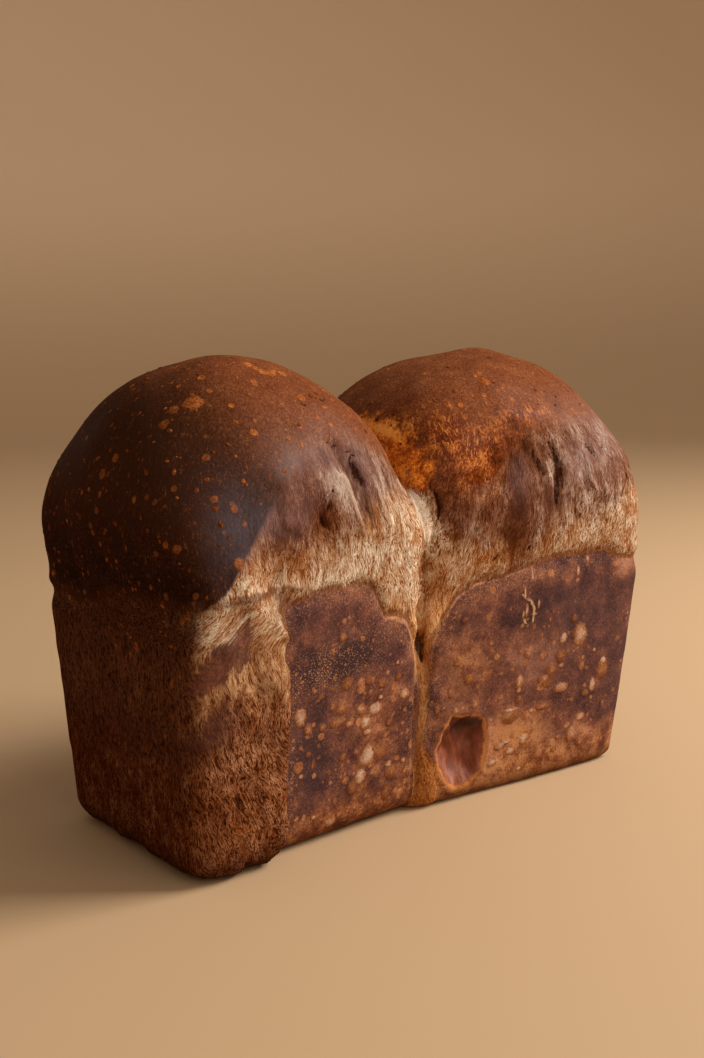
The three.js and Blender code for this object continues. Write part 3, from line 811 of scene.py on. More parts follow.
bubble_lift = raised_by(bubble, (1, 0, 1), BUBBLE_RISE) * ease(zones["panel"], 0, 1)
lift = bubble_lift + raised_by(flake, (1, 1, 1), FLAKE_RISE)
fine = fine + normals_of(plain, quads) * lift[:, None]
print("bubbles:", len(spots), "flakes:", len(FLAKES))

# %% Build the mesh, with the flat base as one face
def smooth(mesh):
    mesh.polygons.foreach_set("use_smooth", [True] * len(mesh.polygons))


def triangles_of(mesh):
    return sum(len(p.vertices) - 2 for p in mesh.polygons)


def loaf_mesh(name, places, faces, layers):
    """A mesh in metres that keeps numbers or vectors at its corners, or at those of each face."""
    mesh = bpy.data.meshes.new(name)
    mesh.from_pydata(((places + shift) * MM).tolist(), [], faces.tolist())
    for label, values in layers.items():
        kind, key = ("FLOAT", "value") if values.ndim == 1 else ("FLOAT_VECTOR", "vector")
        layer = mesh.attributes.new(label, kind, "CORNER" if values.ndim == 3 else "POINT")
        layer.data.foreach_set(key, values.astype(np.float32).ravel())
    shell = bmesh.new()
    shell.from_mesh(mesh)
    flat = [f for f in shell.faces if all(v.co.z < 1e-7 for v in f.verts)]
    bmesh.ops.dissolve_faces(shell, faces=flat, use_verts=True)
    shell.to_mesh(mesh)
    shell.free()
    smooth(mesh)
    mesh.update()
    return mesh


layers = {**zones, "flow": flow, "bubble": bubble, "flake": flake}
crust_mesh = loaf_mesh("brioche_crust", fine, quads, layers)
crust = in_scene("brioche_crust", crust_mesh)
print("brioche_crust:", len(crust_mesh.vertices), "corners,", triangles_of(crust_mesh), "triangles")

# %% [markdown]
# ## Shader maths as expressions
#
# A crust needs many small sums of masks and noises. One class wraps a socket, so that
# they read like sums and Blender still gets plain Math nodes.

# %% A socket that can be added, multiplied and compared
class Value:
    def __init__(self, paint, socket):
        self.paint, self.socket = paint, socket

    def sum(self, operation, *others):
        return self.paint.node("ShaderNodeMath", {"operation": operation}, [self, *others])

    def __add__(self, other):
        return self.sum("ADD", other)

    def __sub__(self, other):
        return self.sum("SUBTRACT", other)

    def __rsub__(self, other):
        return self.sum("MULTIPLY", -1.0).sum("ADD", other)

    def __mul__(self, other):
        return self.sum("MULTIPLY", other)

    __radd__, __rmul__ = __add__, __mul__

    def size(self):
        return self.sum("ABSOLUTE")

    def least(self, other):
        return self.sum("MINIMUM", other)

    def most(self, other):
        return self.sum("MAXIMUM", other)

    def ease(self, low, high):
        """0 below low, 1 above high and a smooth turn between them."""
        settings = {"interpolation_type": "SMOOTHSTEP"}
        inputs = {"Value": self, "From Min": low, "From Max": high}
        return self.paint.node("ShaderNodeMapRange", settings, inputs)


# %% Any tree of nodes, and a material that is painted with such values
class Nodes:
    def __init__(self, tree):
        self.tree = tree

    def node(self, kind, settings=None, inputs=None, output=0):
        """Adds a node, sets its settings and then its inputs, and gives one output."""
        made = self.tree.nodes.new(kind)
        for name, value in (settings or {}).items():
            setattr(made, name, value)
        pairs = inputs.items() if isinstance(inputs, dict) else enumerate(inputs or [])
        for name, value in pairs:
            if isinstance(value, Value):
                self.tree.links.new(value.socket, made.inputs[name])
            else:
                made.inputs[name].default_value = value
        return Value(self, made.outputs[output]) if len(made.outputs) else None


class Paint(Nodes):
    def __init__(self, name):
        self.material = bpy.data.materials.new(name)
        self.material.use_nodes = True
        super().__init__(self.material.node_tree)
        self.tree.nodes.clear()

    def place_in_mm(self):
        return self.scaled(self.node("ShaderNodeTexCoord", output="Object"), (1 / MM,) * 3)

    def axis(self, vector, number):
        return self.node("ShaderNodeSeparateXYZ", None, [vector], output=number)

    def attribute(self, name, vector=False):
        output = "Vector" if vector else "Fac"
        return self.node("ShaderNodeAttribute", {"attribute_name": name}, output=output)

    def leaning(self, vector, degrees):
        """The same coordinates, turned about y, so that strands lean to one side."""
        inputs = {"Vector": vector, "Angle": math.radians(degrees)}
        return self.node("ShaderNodeVectorRotate", {"rotation_type": "Y_AXIS"}, inputs)

    def length(self, vector):
        return self.node("ShaderNodeVectorMath", {"operation": "LENGTH"}, [vector], "Value")

    def scaled(self, vector, factors):
        return self.node("ShaderNodeVectorMath", {"operation": "MULTIPLY"}, [vector, factors])

    def noise(self, vector, size, detail=2.0, rough=0.5, twist=0.0):
        """Noise about 0.5, with lumps of one size, or of sizes along x, y and z."""
        sizes = size if isinstance(size, tuple) else (size,) * 3
        at = self.scaled(vector, tuple(1 / s for s in sizes))
        inputs = {"Vector": at, "Scale": 1.0, "Detail": detail, "Roughness": rough, "Distortion": twist}
        return self.node("ShaderNodeTexNoise", None, inputs)

    def warped(self, vector, size, amount):
        """The same coordinates, pushed about by noise, so that round shapes turn uneven."""
        at = self.scaled(vector, (1 / size,) * 3)
        inputs = {"Vector": at, "Scale": 1.0, "Detail": 2.0}
        push = self.node("ShaderNodeTexNoise", None, inputs, "Color")
        centred = self.node("ShaderNodeVectorMath", {"operation": "SUBTRACT"}, [push, (0.5, 0.5, 0.5)])
        pushed = self.scaled(centred, (amount,) * 3)
        return self.node("ShaderNodeVectorMath", {"operation": "ADD"}, [vector, pushed])

    def cells(self, vector, size, output="Distance"):
        inputs = {"Vector": self.scaled(vector, (1 / size,) * 3), "Scale": 1.0}
        return self.node("ShaderNodeTexVoronoi", None, inputs, output)

    def blend(self, share, first, second):
        """A colour between two, each given as red, green and blue or as a link."""
        ends = [c if isinstance(c, Value) else (*c, 1.0) for c in (first, second)]
        inputs = {0: share, 6: ends[0], 7: ends[1]}
        settings = {"data_type": "RGBA", "clamp_factor": True}
        return self.node("ShaderNodeMix", settings, inputs, output=2)

    def ramp(self, share, *colours):
        """A colour from a row of (place, colour) stops."""
        made = self.node("ShaderNodeValToRGB", None, {"Fac": share})
        stops = made.socket.node.color_ramp.elements
        while len(stops) < len(colours):
            stops.new(0.5)
        for stop, (place, colour) in zip(stops, colours):
            stop.position, stop.color = place, (*colour, 1.0)
        return made

    def bump(self, height):
        """A normal from a height in millimetres."""
        return self.node("ShaderNodeBump", None, {"Height": height, "Distance": MM, "Strength": 1.0})

    def finish(self, inputs):
        """One shader from its inputs, as the material's surface."""
        shader = self.node("ShaderNodeBsdfPrincipled", None, inputs)
        self.node("ShaderNodeOutputMaterial", None, {"Surface": shader})
        return self.material


# %% [markdown]
# ## The crust's finish
#
# Baked dough is a mix of browns that follows how the crust formed: torn fibres dry out
# pale on their crests and stay dark between them, panels are even and a little pink,
# and the domes burnt darkest, with painted shade added where the left dome turns away
# from the light. Each zone gets its own colours from noise at the scale of
# the real thing, and masks blend the zones. Photographs projected on the loaf would be
# quicker, but they carry the light of the day with them.

# %% Where the zones are
NEAR_CORNER, SHARP_EDGE_ENDS, ARCH_MIDDLE, ARCH_FOOT = 97.0, 71.0, 85.0, 58.0
P = Paint("crust")
place = P.place_in_mm()
fibre = P.warped(P.attribute("flow", vector=True), 11.0, 5.0)
ragged = P.noise(fibre, (1.0, 1.0, 4.5), 4, 0.65) - 0.5
broad = P.noise(place, 18.0, 2) - 0.5
haze = P.noise(place, 9.0, 3, 0.6) - 0.5
middling = P.noise(place, 5.0, 3) - 0.5
mottle = P.noise(place, 0.9, 4, 0.65) - 0.5
torn_place = P.noise(place, 1.6, 3, 0.65) - 0.5
speck = P.noise(place, (0.42, 0.42, 0.55), 2, 0.6) - 0.5
height_above, side_place = P.axis(place, 2), P.axis(place, 0)
tone, warmth = P.attribute("tone"), P.attribute("warmth")
orange, lilac = warmth.most(0.0), (warmth * -1.0).most(0.0)

panel_distance = P.attribute("panel")
on_panel = (panel_distance + middling * 1.8 + ragged * 1.4).ease(-0.35, 0.45)
is_front = (side_place + NEAR_CORNER + middling * 5.0 + ragged * 3.0).ease(-1.0, 4.0)
blurred = (side_place + SHARP_EDGE_ENDS).ease(-8.0, 14.0)
tongue = (P.attribute("tongue") + ragged * 0.8).ease(0.2, 0.6)
strays = (ragged * 20.0 + broad * 18.0 + middling * 10.0) * (0.3 + blurred * 0.7)
over_band = (P.attribute("over_band") + strays).ease(-7.0, 8.0) * (1 - tongue)
strays = (ragged * 12.0 + broad * 13.0 + middling * 8.0) * (0.2 + blurred * 0.8)
over_wrinkles = P.attribute("over_wrinkles") + strays
over_wrinkles = over_wrinkles.ease(-1.0 - blurred * 4.0, 1.5 + blurred * 5.0)
on_torn = P.attribute("torn") + ragged * 3.0 + middling * 2.0
on_torn = on_torn.ease(-1.0 + is_front * 0.5, 8.0 - is_front * 7.2)
on_torn = on_torn * (1 - on_panel) * (1 - over_wrinkles * is_front)

# %% Stretched strands: a net of pale threads over brown gaps
def threads(vector, thickness, length, sharp):
    """Noise drawn out along the fibres, and thin bright lines where it crosses its middle."""
    drawn = P.noise(vector, (thickness, thickness, length), 3, 0.6, 0.2)
    return drawn, 1 - ((drawn - 0.5).size() * sharp).least(1.0)


THREAD = dict(thickness=0.55, length=4.6, sharp=11.0)
left_drawn, left_threads = threads(P.leaning(fibre, 12.0), **THREAD)
right_drawn, right_threads = threads(P.leaning(fibre, -14.0), **THREAD)
net = left_threads.most(right_threads)
clump = P.noise(fibre, (2.6, 2.6, 5.5), 3, 0.6, 0.4) - 0.5
swirl = P.noise(fibre, (6.0, 6.0, 11.0), 2, 0.6, 0.6) - 0.5
strands = net * 0.50 + left_drawn.ease(0.32, 0.68) * 0.30
strands = strands + right_drawn.ease(0.32, 0.68) * 0.20
shred, shred_lines = threads(P.leaning(fibre, 8.0), 0.60, 2.3, 8.0)
shreds = shred.ease(0.34, 0.66) * 0.6 + shred_lines * 0.4

patchy = (haze * 3.0 + 0.5).ease(0.0, 1.0)
contrast = strands - 0.45
band_share = contrast * (1.3 + patchy * 0.6) + clump * 0.9 + swirl * 0.7 + tone * 0.30
band_share = band_share + side_place.ease(-2.0, 14.0) * -0.06 + 0.29
band_colour = P.ramp(band_share, (0.0, (0.150, 0.036, 0.0060)), (0.28, (0.290, 0.098, 0.026)),
                     (0.52, (0.370, 0.190, 0.088)), (0.76, (0.50, 0.365, 0.245)),
                     (1.05, (0.74, 0.65, 0.51)))
tongue_colour = P.blend(strands.ease(0.1, 0.8), (0.50, 0.30, 0.18), (0.84, 0.68, 0.53))
band_colour = P.blend(tongue * 0.75, band_colour, tongue_colour)
smooth_share = lilac.least(1.0)
wrinkle_share = contrast * (0.6 + patchy * 0.7 - smooth_share * 0.4) + clump * 0.8
wrinkle_share = wrinkle_share + swirl * 0.8 + mottle * 0.5 + tone * 0.40 + smooth_share * 0.04 + 0.29
wrinkle_colour = P.ramp(wrinkle_share, (0.0, (0.055, 0.015, 0.0055)), (0.3, (0.135, 0.043, 0.0175)),
                        (0.56, (0.225, 0.106, 0.060)), (0.96, (0.51, 0.39, 0.31)))
# Lilac in the wrinkles: partly the crust's own tone, partly painted sheen, as on the right dome's right
# side
wrinkle_colour = P.blend(lilac * (0.26 + net * 0.26), wrinkle_colour, (0.215, 0.140, 0.140))
ember_colour = P.ramp(contrast * 0.7 + mottle * 1.6 + middling * 1.8 + swirl * 0.6 + 0.24,
                      (0.0, (0.065, 0.010, 0.0012)), (0.45, (0.195, 0.038, 0.0052)),
                      (1.0, (0.66, 0.235, 0.046)))
wrinkle_colour = P.blend(orange * 0.9, wrinkle_colour, ember_colour)
torn_share_of_pale = shreds * 0.70 + net * 0.55 + clump * 0.7 + swirl * 0.4 + tone * 0.2 - 0.21
torn_share_of_pale = torn_share_of_pale - (34.0 - height_above).ease(-14.0, 14.0) * 0.05
torn_brown = P.ramp(torn_share_of_pale, (0.0, (0.034, 0.0075, 0.0020)), (0.30, (0.082, 0.020, 0.0055)),
                    (0.62, (0.205, 0.065, 0.021)), (0.97, (0.50, 0.275, 0.155)))
# The end is painted lighter and greyer towards the top and a little lighter about 46 mm up: painted
# light that changes with height
end_share = shreds * 0.65 + net * 0.25 + clump * 0.8 + mottle * 0.5
end_share = end_share + (1 - (height_above - 46.0).size().ease(8.0, 34.0)) * 0.09
end_low = P.ramp(end_share - 0.05, (0.0, (0.012, 0.0022, 0.0005)), (0.45, (0.064, 0.0088, 0.0012)),
                 (1.0, (0.145, 0.028, 0.0040)))
end_high = P.ramp(end_share, (0.0, (0.010, 0.0035, 0.0018)), (0.45, (0.090, 0.0300, 0.0132)),
                  (1.0, (0.18, 0.072, 0.037)))
end_brown = P.blend((height_above - 35.0).ease(-28.0, 26.0), end_low, end_high)
# Painted shade: small dark pits in the end's crust
pit = P.noise(fibre, (0.9, 0.9, 2.0), 2, 0.5).ease(0.57, 0.64)
end_brown = P.blend(pit * 0.75, end_brown, (0.012, 0.004, 0.002))

# %% The torn corner: dark on the end, golden at the top, brown below, and a smooth patch
from_middle = side_place + ARCH_MIDDLE
from_arch = height_above - ARCH_FOOT + (from_middle * 0.75).size() - from_middle.most(0.0) * 0.6
golden_top = (from_arch + broad * 14.0 + clump * 20.0 + ragged * 16.0).ease(-6.0, 7.0)
golden_brown = P.ramp(contrast * 1.2 + clump * 0.9 + 0.42, (0.0, (0.085, 0.020, 0.0045)),
                      (0.4, (0.240, 0.082, 0.023)), (1.0, (0.56, 0.35, 0.19)))
top_colour = P.blend((height_above - 74.0 + clump * 10.0).ease(-7.0, 6.0), golden_brown, band_colour)
torn_colour = P.blend(golden_top * is_front, torn_brown, top_colour)
low_shade = (9.0 - height_above + middling * 10.0).ease(-5.0, 9.0)
torn_colour = P.blend(low_shade * 0.75, torn_colour, (0.030, 0.008, 0.004))
below_arch = 1 - (from_arch + 6.0 + clump * 12.0).size().ease(2.0, 9.0)
below_arch = below_arch * (-84.0 - side_place).ease(-6.0, 6.0)
torn_colour = P.blend(below_arch * 0.7, torn_colour, (0.085, 0.034, 0.026))
flap = 1 - (P.attribute("from_flap") + middling * 4.0 + ragged * 7.0).ease(-0.8, 0.8)
flap_colour = P.ramp(mottle * 1.2 + middling * 1.0 + speck * 0.6 + 0.5,
                     (0.2, (0.050, 0.020, 0.017)), (0.5, (0.105, 0.037, 0.026)),
                     (0.85, (0.21, 0.080, 0.045)))
torn_colour = P.blend(flap * 0.92, torn_colour, flap_colour)
torn_colour = P.blend(is_front, end_brown, torn_colour)
edge_shade = 1 - (P.attribute("torn") - 1.4 + ragged * 1.5).size().ease(0.8, 2.4)
torn_colour = P.blend(edge_shade * 0.6, torn_colour, (0.095, 0.028, 0.010))

# %% Smooth panels: brown with a pink haze, grainy and mottled
def blotches(vector, size, smallest, largest, share, soft=0.07):
    """Round spots of uneven size, one at most in each cell, in a share of the cells."""
    distance = P.cells(vector, size)
    draw = P.cells(vector, size, output="Color")
    size_draw = P.node("ShaderNodeSeparateColor", None, [draw], output=0)
    kept = P.node("ShaderNodeSeparateColor", None, [draw], output=1)
    radius = smallest + size_draw * size_draw * (largest - smallest)
    chosen = (share - kept).ease(-0.02, 0.02)
    return (1 - (distance - radius).ease(-soft, soft)) * chosen


right_half = side_place.ease(-8.0, 12.0)
panel_share = haze * 1.5 + speck * 0.5 + mottle * 0.8 + middling * 0.5 + tone * 0.40
panel_share = panel_share + right_half * 0.05 + 0.43
panel_colour = P.ramp(panel_share, (0.05, (0.040, 0.018, 0.018)), (0.35, (0.090, 0.036, 0.030)),
                      (0.6, (0.165, 0.061, 0.038)), (0.95, (0.30, 0.135, 0.085)))
panel_colour = P.blend(lilac * 0.5, panel_colour, (0.078, 0.040, 0.040))
low_share = (12.0 - height_above + broad * 26.0 + middling * 18.0).ease(-9.0, 9.0)
paler = mottle * 1.1 + middling * 1.8 + speck * 0.4 + tone * 0.15 + right_half * 0.22 + 0.39
low_colour = P.ramp(paler, (0.1, (0.080, 0.020, 0.006)), (0.45, (0.200, 0.060, 0.016)),
                    (0.85, (0.46, 0.205, 0.078)))
panel_colour = P.blend((low_share * 0.8).most(orange * 0.85), panel_colour, low_colour)
crowd = low_share * 0.35 + orange * 0.5 + tone.most(0.0) * 0.6 + broad * 0.9
crowd = (crowd - right_half * 0.12 + 0.34).most(0.0).least(1.0)
small_blotch = blotches(P.warped(place, 1.2, 0.6), 2.6, 0.10, 0.36, crowd * 1.1, 0.08)
large_blotch = blotches(P.warped(place, 1.7, 1.0), 5.0, 0.14, 0.40, crowd * 1.0, 0.06)
blotch_colour = P.ramp(mottle * 1.0 + middling * 0.9 + 0.5,
                       (0.2, (0.19, 0.056, 0.016)), (0.5, (0.31, 0.110, 0.038)),
                       (0.85, (0.46, 0.25, 0.130)))
panel_colour = P.blend(small_blotch * 0.75, panel_colour, blotch_colour)
panel_colour = P.blend(large_blotch * 0.8, panel_colour, blotch_colour)
sparkling = (tone * -1.3).most(0.0).least(1.0) * (height_above - 48.0).ease(-6.0, 6.0)
sparkling = sparkling * (-14.0 - side_place).ease(0.0, 8.0)
sparkle = (P.noise(place, 0.45, 1, 0.5) + haze * 0.2).ease(0.58, 0.66)
top_edge = 1 - (panel_distance + middling * 8.0).ease(2.0, 9.0)
sparkle = sparkle * (0.14 + sparkling * 0.6 + top_edge * 0.30)
panel_colour = P.blend(sparkle, panel_colour, (0.42, 0.23, 0.115))

bubble = P.attribute("bubble", vector=True)
is_pale, bubble_up = P.axis(bubble, 1), P.axis(bubble, 2)
bubble_edge = P.length(P.scaled(bubble, (1.0, 0.0, 1.0)))
bubble_edge = bubble_edge + torn_place * 1.1 + mottle * 0.5 + middling * 0.6
in_bubble = 1 - bubble_edge.ease(0.75, 1.15)
bubble_share = bubble_edge * -0.40 + bubble_up * 0.14 + mottle * 1.3 + haze * 1.2
bubble_share = bubble_share + torn_place * 0.8 + is_pale * 0.32 + 0.44
bubble_colour = P.ramp(bubble_share, (0.0, (0.15, 0.046, 0.014)), (0.38, (0.27, 0.100, 0.035)),
                       (0.62, (0.37, 0.205, 0.125)), (1.0, (0.52, 0.41, 0.33)))
panel_colour = P.blend(in_bubble * (0.78 + is_pale * 0.2), panel_colour, bubble_colour)
# Painted highlight: a pale line along the rounded top edges of the panels
lip = (1 - (panel_distance - 0.5 + middling * 1.8).size().ease(0.1, 0.85)) * on_panel
lip = lip * (0.15 + (height_above - 45.0).ease(-8.0, 12.0) * 0.85)
lip = lip * (1 - (side_place - 6.0).size().ease(16.0, 36.0))
lip = lip * (0.6 + middling * 3.0 + mottle * 3.0).most(0.0)
panel_colour = P.blend(lip, panel_colour, (0.46, 0.235, 0.130))
curl = (P.attribute("curl") + mottle * 0.6 + ragged * 0.5).ease(0.45, 0.8)
panel_colour = P.blend(curl * 0.85, panel_colour, (0.50, 0.30, 0.155))
foot_shade = (5.0 - height_above + middling * 4.0).ease(-3.0, 4.0)
panel_colour = P.blend(foot_shade * 0.6, panel_colour, (0.075, 0.022, 0.008))
# Painted shade: small dark pores in the panels
pore = (1 - P.cells(place, 1.3).ease(0.08, 0.24)) * (haze * 3.0 + 0.3).ease(0.0, 1.0)
panel_colour = P.blend(pore * 0.5, panel_colour, (0.030, 0.010, 0.007))

# %% Domes: smooth and dark, with orange flecks
# Burnt crust together with painted shade on the left dome's far side
burnt_and_shaded = (P.attribute("burnt_and_shaded") + broad * 0.30 + middling * 0.14).ease(0.0, 0.75)
streaked = P.noise(fibre, (0.9, 0.9, 3.4), 3, 0.6) - 0.5
dome_share = haze * 0.7 + speck * 1.0 + mottle * 1.2 + streaked * 0.5 + tone * 0.2 + 0.47
dome_colour = P.ramp(dome_share, (0.1, (0.079, 0.021, 0.0065)), (0.5, (0.153, 0.042, 0.0140)),
                     (0.9, (0.252, 0.093, 0.036)))
burnt_and_shaded_colour = P.ramp(dome_share, (0.1, (0.0075, 0.0027, 0.0016)), (0.5, (0.027, 0.0086, 0.0034)),
                      (0.9, (0.062, 0.020, 0.0080)))
upper_left = (height_above - 103.0).ease(-16.0, 14.0) * (-82.0 - side_place).ease(-8.0, 10.0)
burnt_and_shaded_colour = P.blend(upper_left * 0.6, burnt_and_shaded_colour, (0.060, 0.021, 0.010))
dome_colour = P.blend(burnt_and_shaded, dome_colour, burnt_and_shaded_colour)
# Painted sheen: lilac-grey on the domes where warmth is below zero, as low on the left dome and on the
# right dome's right side
painted_sheen_colour = P.blend(burnt_and_shaded, (0.17, 0.095, 0.080), (0.056, 0.040, 0.047))
dome_colour = P.blend(lilac * (0.7 + streaked * 1.6), dome_colour, painted_sheen_colour)
dome_colour = P.blend((orange * 0.9).least(1.0), dome_colour, ember_colour)
fine_fleck = (P.noise(place, 1.1, 3, 0.6) + haze * 0.25).ease(0.62, 0.69)
fleck = blotches(P.warped(place, 1.0, 1.0), 3.4, 0.05, 0.34, 0.55 + broad * 0.9, 0.06)
dash = (P.noise(P.leaning(fibre, -30.0), (0.9, 0.9, 2.6), 1) + orange * 0.08).ease(0.66, 0.72)
flake_edge = P.length(P.attribute("flake", vector=True)) + torn_place * 1.5 + mottle * 0.8
flake = 1 - flake_edge.ease(0.82, 1.05)
fleck_colour = P.ramp(mottle * 1.5 + middling * 0.8 + torn_place * 1.2 + 0.44,
                      (0.2, (0.19, 0.045, 0.009)), (0.55, (0.33, 0.095, 0.019)),
                      (0.9, (0.50, 0.20, 0.058)))
# Flecks fade where the crust is burnt and painted in shade
unburnt_and_unshaded = 1 - burnt_and_shaded * 0.55
dome_colour = P.blend(fine_fleck * 0.55 * unburnt_and_unshaded, dome_colour, fleck_colour)
dome_colour = P.blend(fleck * (0.75 + haze) * unburnt_and_unshaded, dome_colour, fleck_colour)
dome_colour = P.blend(dash * (orange * 0.8 + 0.1), dome_colour, (0.44, 0.15, 0.035))

# %% Put the zones together
# A brown line in the fold just above the panels: partly the crust's own colour, partly painted shade in
# the fold
bevel_and_shade = (panel_distance + ragged * 5.0 + middling * 4.0).ease(-2.6, -0.9)
bevel_and_shade = bevel_and_shade * (0.4 + (height_above - 62.0).ease(-10.0, 10.0) * 0.45)
bevel_and_shade_colour = P.ramp(strands * 0.6 + mottle + 0.2,
                      (0.2, (0.085, 0.024, 0.008)), (0.6, (0.19, 0.062, 0.020)),
                      (1.0, (0.32, 0.14, 0.055)))
strip_colour = P.ramp(contrast * 0.9 + clump * 0.8 + 0.38, (0.0, (0.25, 0.065, 0.012)),
                      (0.4, (0.50, 0.190, 0.052)), (0.95, (0.82, 0.58, 0.31)))
foot_colour = P.ramp(contrast * 0.6 + mottle * 1.2 + 0.45, (0.1, (0.13, 0.032, 0.006)),
                     (0.5, (0.32, 0.100, 0.021)), (0.9, (0.54, 0.25, 0.085)))
strip_colour = P.blend((26.0 - height_above).ease(-6.0, 6.0), strip_colour, foot_colour)
above_colour = P.blend((70.0 - height_above).ease(-10.0, 6.0) * 0.95, band_colour, strip_colour)
above_colour = P.blend(bevel_and_shade * (height_above - 60.0).ease(-8.0, 6.0), above_colour, bevel_and_shade_colour)
above_colour = P.blend(over_band, above_colour, wrinkle_colour)
above_colour = P.blend(over_wrinkles, above_colour, dome_colour)
colour = P.blend(on_torn, above_colour, torn_colour)
crest = (P.attribute("ridge") + ragged * 1.0 + mottle * 0.4).ease(0.35, 0.9)
crest_colour = P.blend((72.0 - height_above).ease(-4.0, 4.0), (0.56, 0.42, 0.32), (0.84, 0.64, 0.38))
crest_colour = P.blend(strands, (0.30, 0.15, 0.080), crest_colour)
colour = P.blend(crest * 0.75, colour, crest_colour)
colour = P.blend(flake * (1 - on_panel) * unburnt_and_unshaded * 1.3, colour, fleck_colour)
colour = P.blend(on_panel, colour, panel_colour)

# The valley between the domes: the crust's own orange, brightened with painted light that stands in for
# light reaching into it
valley = (P.attribute("valley") + middling * 1.3 + ragged * 1.6 + haze * 0.6).ease(0.25, 0.95)
glow = P.attribute("glow") * 0.75 + mottle * 1.8 + torn_place * 1.6 + middling * 1.6 + haze * 1.2
valley_colour = P.ramp(glow * 0.70 + strands * 0.55 - 0.04,
                       (0.0, (0.14, 0.020, 0.002)), (0.4, (0.42, 0.085, 0.009)),
                       (0.8, (0.93, 0.30, 0.036)), (1.0, (0.98, 0.43, 0.095)))
colour = P.blend(valley * (1 - tongue) * 0.92, colour, valley_colour)

dent_edge = P.attribute("from_dent") + middling * 2.4 + mottle * 1.6
in_dent = 1 - dent_edge.ease(-1.1, 0.1)
dent_rim = 1 - (dent_edge - 0.2).size().ease(0.1, 0.9)
dent_rim = dent_rim * (0.75 + middling * 2.5 + torn_place * 2.0).most(0.0)
dent_share = P.noise(place, (2.6, 2.6, 4.5), 3) * 0.9 + tone * 0.40
dent_share = dent_share + (19.0 - height_above) * 0.016 - 0.04
dent_colour = P.ramp(dent_share, (0.0, (0.035, 0.008, 0.003)), (0.35, (0.125, 0.024, 0.008)),
                     (0.6, (0.21, 0.053, 0.025)), (0.95, (0.38, 0.175, 0.115)))
# Painted highlights: lilac on the folds low on the dent's left, where warmth is below zero
dent_colour = P.blend(lilac * 0.6, dent_colour, (0.25, 0.140, 0.145))
colour = P.blend(dent_rim * 0.95, colour, (0.46, 0.165, 0.040))
colour = P.blend(in_dent, colour, dent_colour)

# Grooves and creases: orange-brown low down, darker higher up and at their middles, partly the crust's
# own colour and partly painted shade
groove = (P.attribute("groove") + ragged * 1.2).ease(0.2, 1.0)
high_up = (height_above - 92.0).ease(-4.0, 6.0)
groove_and_shade_colour = P.blend(high_up, (0.200, 0.056, 0.010), (0.060, 0.020, 0.010))
groove_and_shade_colour = P.blend(groove.ease(0.6, 1.0) * 0.6, groove_and_shade_colour, (0.040, 0.011, 0.004))
colour = P.blend(groove * 0.75, colour, groove_and_shade_colour)
# Cracks are painted dark: painted shade inside them
crack_edge = P.attribute("from_crack") + ragged * 2.6 + torn_place * 2.4 + mottle * 1.0
crack = 1 - crack_edge.ease(0.4, 1.4)
crack_shade_colour = P.blend(crack.ease(0.5, 1.0), (0.110, 0.036, 0.016), (0.036, 0.010, 0.004))
colour = P.blend(crack * 0.9, colour, crack_shade_colour)

# %% Relief too fine for the mesh, and the finish itself
on_dome = over_wrinkles * (1 - on_panel) * (1 - on_torn)
fibrous = (1 - on_panel) * (1 - on_dome)
stretched = (left_drawn + right_drawn - 1.0) * 0.26 + net * 0.10
torn_relief = (shred - 0.5) * 0.38 + net * 0.10 + shred_lines * 0.05
bump = fibrous * (stretched + (torn_relief - stretched) * on_torn + clump * 0.5 + swirl * 0.4)
bump = bump * (1 - flap * on_torn * 0.8)
panel_relief = mottle * 0.14 + speck * 0.06 + in_bubble * 0.18 + large_blotch * 0.10 - pore * 0.12
dome_relief = middling * 0.5 + torn_place * 0.25 + mottle * 0.24 + speck * 0.10
dome_relief = dome_relief + fleck * 0.16 + fine_fleck * 0.08 + streaked * 0.16
bump = bump + on_panel * panel_relief + on_dome * dome_relief
bump = bump - pit * (1 - is_front) * on_torn * 0.35 + flake * 0.15 - crack * 0.6
roughness = 0.50 + fibrous * 0.20 + mottle * 0.3 - in_dent * 0.28
gloss = on_dome * (0.10 - burnt_and_shaded * 0.06 + lilac * 0.12) + on_panel * 0.06 + in_dent * 0.5
crust_material = P.finish({"Base Color": colour, "Roughness": roughness, "Normal": P.bump(bump),
                           "Specular IOR Level": 0.0, "Coat Weight": gloss, "Coat Roughness": 0.42})
crust.data.materials.append(crust_material)
print("crust material:", len(P.tree.nodes), "nodes")

# %% [markdown]
# ## Blisters on the domes
#
# Steam raised small blisters on the domes that browned to a lighter orange. There are
# hundreds of them and all are alike, so Geometry Nodes scatter them over the domes and
# turn each one to the surface. Modelling each by hand would look the same, with far more
# work.

# %% A tree of nodes that scatters blisters
B = Paint("blister")
blister_place = B.place_in_mm()
blister_grain = B.noise(blister_place, 0.8, 3)
blister_shade = blister_grain + (B.noise(blister_place, 9.0) - 0.5)
blister_colour = B.ramp(blister_shade, (0.3, (0.055, 0.015, 0.005)), (0.5, (0.14, 0.038, 0.010)),
                        (0.7, (0.29, 0.090, 0.022)))
blister_material = B.finish({"Base Color": blister_colour, "Roughness": 0.55,
                             "Normal": B.bump(blister_grain * 0.1), "Specular IOR Level": 0.0})
BLISTERS = [("Geometry", "Geometry", None), ("Density", "Float", 30000.0),
            ("Smallest", "Float", 0.0003), ("Largest", "Float", 0.0010), ("Seed", "Int", 5)]
SEGMENTS, RINGS = 8, 6
FLATTEST, FULLEST = (0.7, 0.6, 0.12), (1.5, 1.0, 0.26)


